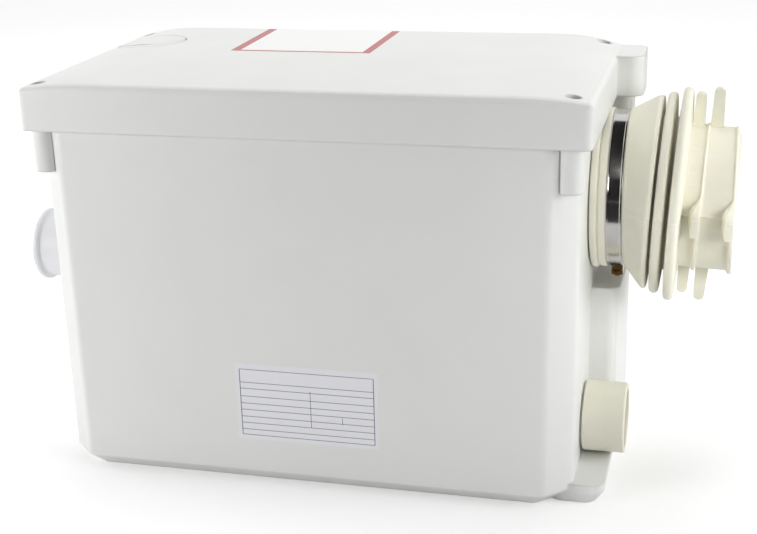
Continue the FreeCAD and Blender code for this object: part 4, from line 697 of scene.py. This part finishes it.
def paper(name, settings):
    # a faint fibre over white, with printed rules, on the piece's own UV map in millimetres
    material, tree, shader = newMaterial(name)
    flat = addNode(tree, "ShaderNodeUVMap", uv_map="sheet").outputs[0]
    split = addNode(tree, "ShaderNodeSeparateXYZ", {"Vector": flat}).outputs
    ink = None
    for axis, at, wide, low, high in settings["rules"]:
        across, along = ("X", "Y") if axis == "x" else ("Y", "X")
        line = addNode(tree, "ShaderNodeMath", {0: split[across], 1: at, 2: wide / 2},
                       operation="COMPARE")
        ends = addNode(tree, "ShaderNodeMath", {
            0: split[along], 1: (low + high) / 2, 2: (high - low) / 2}, operation="COMPARE")
        mark = addNode(tree, "ShaderNodeMath", {0: line.outputs[0], 1: ends.outputs[0]},
                       operation="MULTIPLY")
        if ink:
            mark = addNode(tree, "ShaderNodeMath", {0: ink, 1: mark.outputs[0]}, operation="MAXIMUM")
        ink = mark.outputs[0]
    fibre = addNode(tree, "ShaderNodeTexNoise", {
        "Vector": flat, "Scale": paperFinish["fibreScale"], "Detail": paperFinish["fibreDetail"]})
    plain = addNode(tree, "ShaderNodeMix", {
        "Factor": fibre.outputs["Fac"], "A": linear(settings["paper"]), "B": linear(settings["fibre"])},
        data_type="RGBA")
    printed = addNode(tree, "ShaderNodeMix", {
        "Factor": ink, "A": plain.outputs["Result"], "B": linear(settings["ink"])}, data_type="RGBA")
    tree.links.new(printed.outputs["Result"], shader.inputs["Base Color"])
    bump = addNode(tree, "ShaderNodeBump", {
        "Height": fibre.outputs["Fac"], "Distance": paperFinish["fibreDepth"] * mm})
    tree.links.new(bump.outputs[0], shader.inputs["Normal"])
    shader.inputs["Roughness"].default_value = settings["rough"]
    return material


def sheetMesh(name, corners, thick, lift, steps):
    # a thin card between four corners, each point lifted onto the surface under it
    across, along = steps
    a, b, c, d = [Vector(corner) for corner in corners]
    vertices, faces = [], []
    wide, tall = (b - a).length, (d - a).length
    for layer in (0, 1):
        for j in range(along + 1):
            for i in range(across + 1):
                u, v = i / across, j / along
                point = a.lerp(b, u).lerp(d.lerp(c, u), v)
                vertices.append(lift(point, thick * layer) * mm)
    row = across + 1
    size = row * (along + 1)
    for j in range(along):
        for i in range(across):
            at = j * row + i
            faces.append((at, at + row, at + row + 1, at + 1))
            faces.append((size + at, size + at + 1, size + at + row + 1, size + at + row))
    edge = list(range(across)) + [across + j * row for j in range(along)]
    edge += [along * row + across - i for i in range(across)] + [(along - j) * row for j in range(along)]
    for here, there in zip(edge, edge[1:] + edge[:1]):
        faces.append((here, there, size + there, size + here))
    mesh = bpy.data.meshes.new(name)
    mesh.from_pydata([tuple(v) for v in vertices], [], faces)
    layer = mesh.uv_layers.new(name="sheet")
    for loop in mesh.loops:
        at = loop.vertex_index % size
        layer.data[loop.index].uv = (at % row / across * wide, at // row / along * tall)
    solid = bmesh.new()
    solid.from_mesh(mesh)
    bmesh.ops.recalc_face_normals(solid, faces=solid.faces)
    solid.to_mesh(mesh)
    solid.free()
    return mesh


# front plate: a blank ruled sheet on the tank's drafted wall

plate = {
    "left": -58.5, "right": 63, "low": 41.5, "high": 109.5, "thick": 0.12, "steps": (12, 8),
    "frame": (3.5, 118.2, 3.9, 63.2), "line": 0.45, "sideLine": 0.63,
    "rows": (8.9, 14.8, 20.6, 26.8, 32.6, 39.0, 46.0, 51.5),
    # each short column: distance from the frame's left, then its ends above the frame's foot
    "columns": [(60.6, 10.7, 43.8), (87.6, 15.7, 22.1)],
    "paper": "#F4F4F8", "fibre": "#EDEDF2", "ink": "#4A4C60", "rough": 0.4,
    "wallAt": 124, "wallTop": 322, "draft": 0.35,
}


def onWall(point, out):
    # the tank's drafted front face at the point's level, and the plate a hair before it
    fall = (plate["wallTop"] - point.z) * math.tan(math.radians(plate["draft"]))
    return Vector((point.x, -(plate["wallAt"] - fall) - paperFinish["gap"] - out, point.z))


def plateRules(settings):
    left, right, low, high = settings["frame"]
    line, sideLine = settings["line"], settings["sideLine"]
    rules = [("x", side, sideLine, low, high) for side in (left, right)]
    rules += [("y", level, line, left, right) for level in (low, high, *settings["rows"])]
    rules += [("x", left + at, line, low + start, low + end) for at, start, end in settings["columns"]]
    return rules


# coated paper: a cold white with a half matt face and thin grey-blue rules
platePaper = paper("coatedPlatePaper", {**plate, "rules": plateRules(plate)})
left, right, low, high = (plate[name] for name in ("left", "right", "low", "high"))
sheet = sheetMesh("frontPlate", [(left, 0, low), (right, 0, low), (right, 0, high), (left, 0, high)],
                  plate["thick"], onWall, plate["steps"])
newObject("frontPlate", sheet, platePaper)
print("front plate done")


# lid label: a blank film with a red edge, laid on the lid's crown

sticker = {
    "corners": [(-96, 10.8, 0), (28.6, 10.8, 0), (28.0, 127.2, 0), (-98.5, 127.2, 0)], "thick": 0.08,
    "wide": 125.5, "deep": 116.4, "side": 8.0, "front": 4.0, "back": 1.2, "above": 500, "steps": (24, 40),
    "paper": "#FBFBFA", "fibre": "#F6F6F5", "ink": "#B33A34", "rough": 0.3,
}


def skinOf(name):
    # a node's faces, to drop points on
    skin = nodes[name]
    return BVHTree.FromPolygons([skin.matrix_world @ vertex.co for vertex in skin.data.vertices],
                                [tuple(polygon.vertices) for polygon in skin.data.polygons])


def levelOn(skin, x, y):
    # how high the skin is at a place, or nothing where there is none
    hit = skin.ray_cast(Vector((x, y, sticker["above"])) * mm, Vector((0, 0, -1)))[0]
    return hit.z / mm if hit else None


lidSkin, ventSkin = skinOf("lid"), skinOf("vent_cap")


def onLid(point, out):
    # the lid's skin straight below a point, and the label a hair above it
    return Vector((point.x, point.y, levelOn(lidSkin, point.x, point.y) + paperFinish["gap"] + out))


def labelRules(settings):
    wide, deep, side, front, back = (settings[name] for name in ("wide", "deep", "side", "front", "back"))
    return [("x", side / 2, side, 0, deep), ("x", wide - side / 2, side, 0, deep),
            ("y", front / 2, front, 0, wide), ("y", deep - back / 2, back, 0, wide)]


# printed film: a brighter white with a soft gloss and a dull red edge
labelPaper = paper("glossyLabelFilm", {**sticker, "rules": labelRules(sticker)})
sheet = sheetMesh("lidLabel", sticker["corners"], sticker["thick"], onLid, sticker["steps"])
newObject("lidLabel", sheet, labelPaper)
print("lid label done")


# raised lip along the front of the vent, with a dark button of painted shade for a pin hole at each end

ventLip = {
    "left": (-219.5, 54.0), "front": (-189.0, 33.0), "right": (-157.8, 62.0), "wide": 1.8, "high": 0.7,
    "steps": 60, "ends": 0.04, "topmost": 345.0, "creases": 60,
    # the lip's section, in shares of its half width and its height; the roots are sunk in millimetres
    "section": [(-1, -0.3), (-1, 0.0), (-0.6, 0.75), (0, 1.0), (0.6, 0.75), (1, 0.0), (1, -0.3)],
    "pinRadius": 1.2, "pinHigh": 0.04, "pinRoot": -0.3, "pinTurns": 24,
}


def circleThrough(first, second, third):
    a, b, c = Vector(first), Vector(second), Vector(third)
    sizes = (a.length_squared, b.length_squared, c.length_squared)
    twice = 2 * (a.x * (b.y - c.y) + b.x * (c.y - a.y) + c.x * (a.y - b.y))
    x = (sizes[0] * (b.y - c.y) + sizes[1] * (c.y - a.y) + sizes[2] * (a.y - b.y)) / twice
    y = (sizes[0] * (c.x - b.x) + sizes[1] * (a.x - c.x) + sizes[2] * (b.x - a.x)) / twice
    return Vector((x, y)), (a - Vector((x, y))).length


def topAt(x, y):
    # the higher of the lid's and the vent cap's skin
    levels = [levelOn(skin, x, y) for skin in (lidSkin, ventSkin)]
    return max(level for level in levels if level is not None)


def ventLipMesh(settings):
    centre, radius = circleThrough(settings["left"], settings["front"], settings["right"])
    start, end = (math.atan2(settings[side][1] - centre.y, settings[side][0] - centre.x)
                  for side in ("left", "right"))
    sweep = (end - start) % (2 * math.pi)
    half = settings["wide"] / 2
    vertices, faces = [], []
    for step in range(settings["steps"] + 1):
        share = step / settings["steps"]
        cosine, sine = math.cos(start + sweep * share), math.sin(start + sweep * share)
        fade = smoothStep(share, 0, settings["ends"]) * smoothStep(share, 1, 1 - settings["ends"])
        level = topAt(centre.x + radius * cosine, centre.y + radius * sine)
        for across, up in settings["section"]:
            away = radius + across * half
            high = up * settings["high"] * fade if up > 0 else up
            vertices.append(Vector((centre.x + away * cosine, centre.y + away * sine,
                                    min(level + high, settings["topmost"]))) * mm)
    size = len(settings["section"])
    for step in range(settings["steps"]):
        for at in range(size):
            here, there = step * size, (step + 1) * size
            faces.append((here + at, here + (at + 1) % size, there + (at + 1) % size, there + at))
    faces.append(tuple(range(size)))
    faces.append(tuple(settings["steps"] * size + at for at in reversed(range(size))))
    return meshOf("ventLip", vertices, faces, settings["creases"])


def pinShadeMesh(name, centre, settings):
    # a shallow dark button, turned about Z, painted shade that reads as a pin hole
    x, y = centre
    level = topAt(x, y)
    wide, low, high = settings["pinRadius"], settings["pinRoot"], settings["pinHigh"]
    outline = [(0, low), (wide, low), (wide, high), (0, high)]

    def place(radius, up, angle):
        return Vector((x + radius * math.cos(angle), y + radius * math.sin(angle), level + up)) * mm
    return turned(name, lambda angle: outline, place, evenAngles(settings["pinTurns"]))


newObject("ventLip", ventLipMesh(ventLip), made["whitePolypropylene"])
for name, centre in (("ventPinShadeLeft", ventLip["left"]), ("ventPinShadeRight", ventLip["right"])):
    newObject(name, pinShadeMesh(name, centre, ventLip), made["slotShadow"])
print("vent lip done")


# a last update of the view layer

bpy.context.view_layer.update()
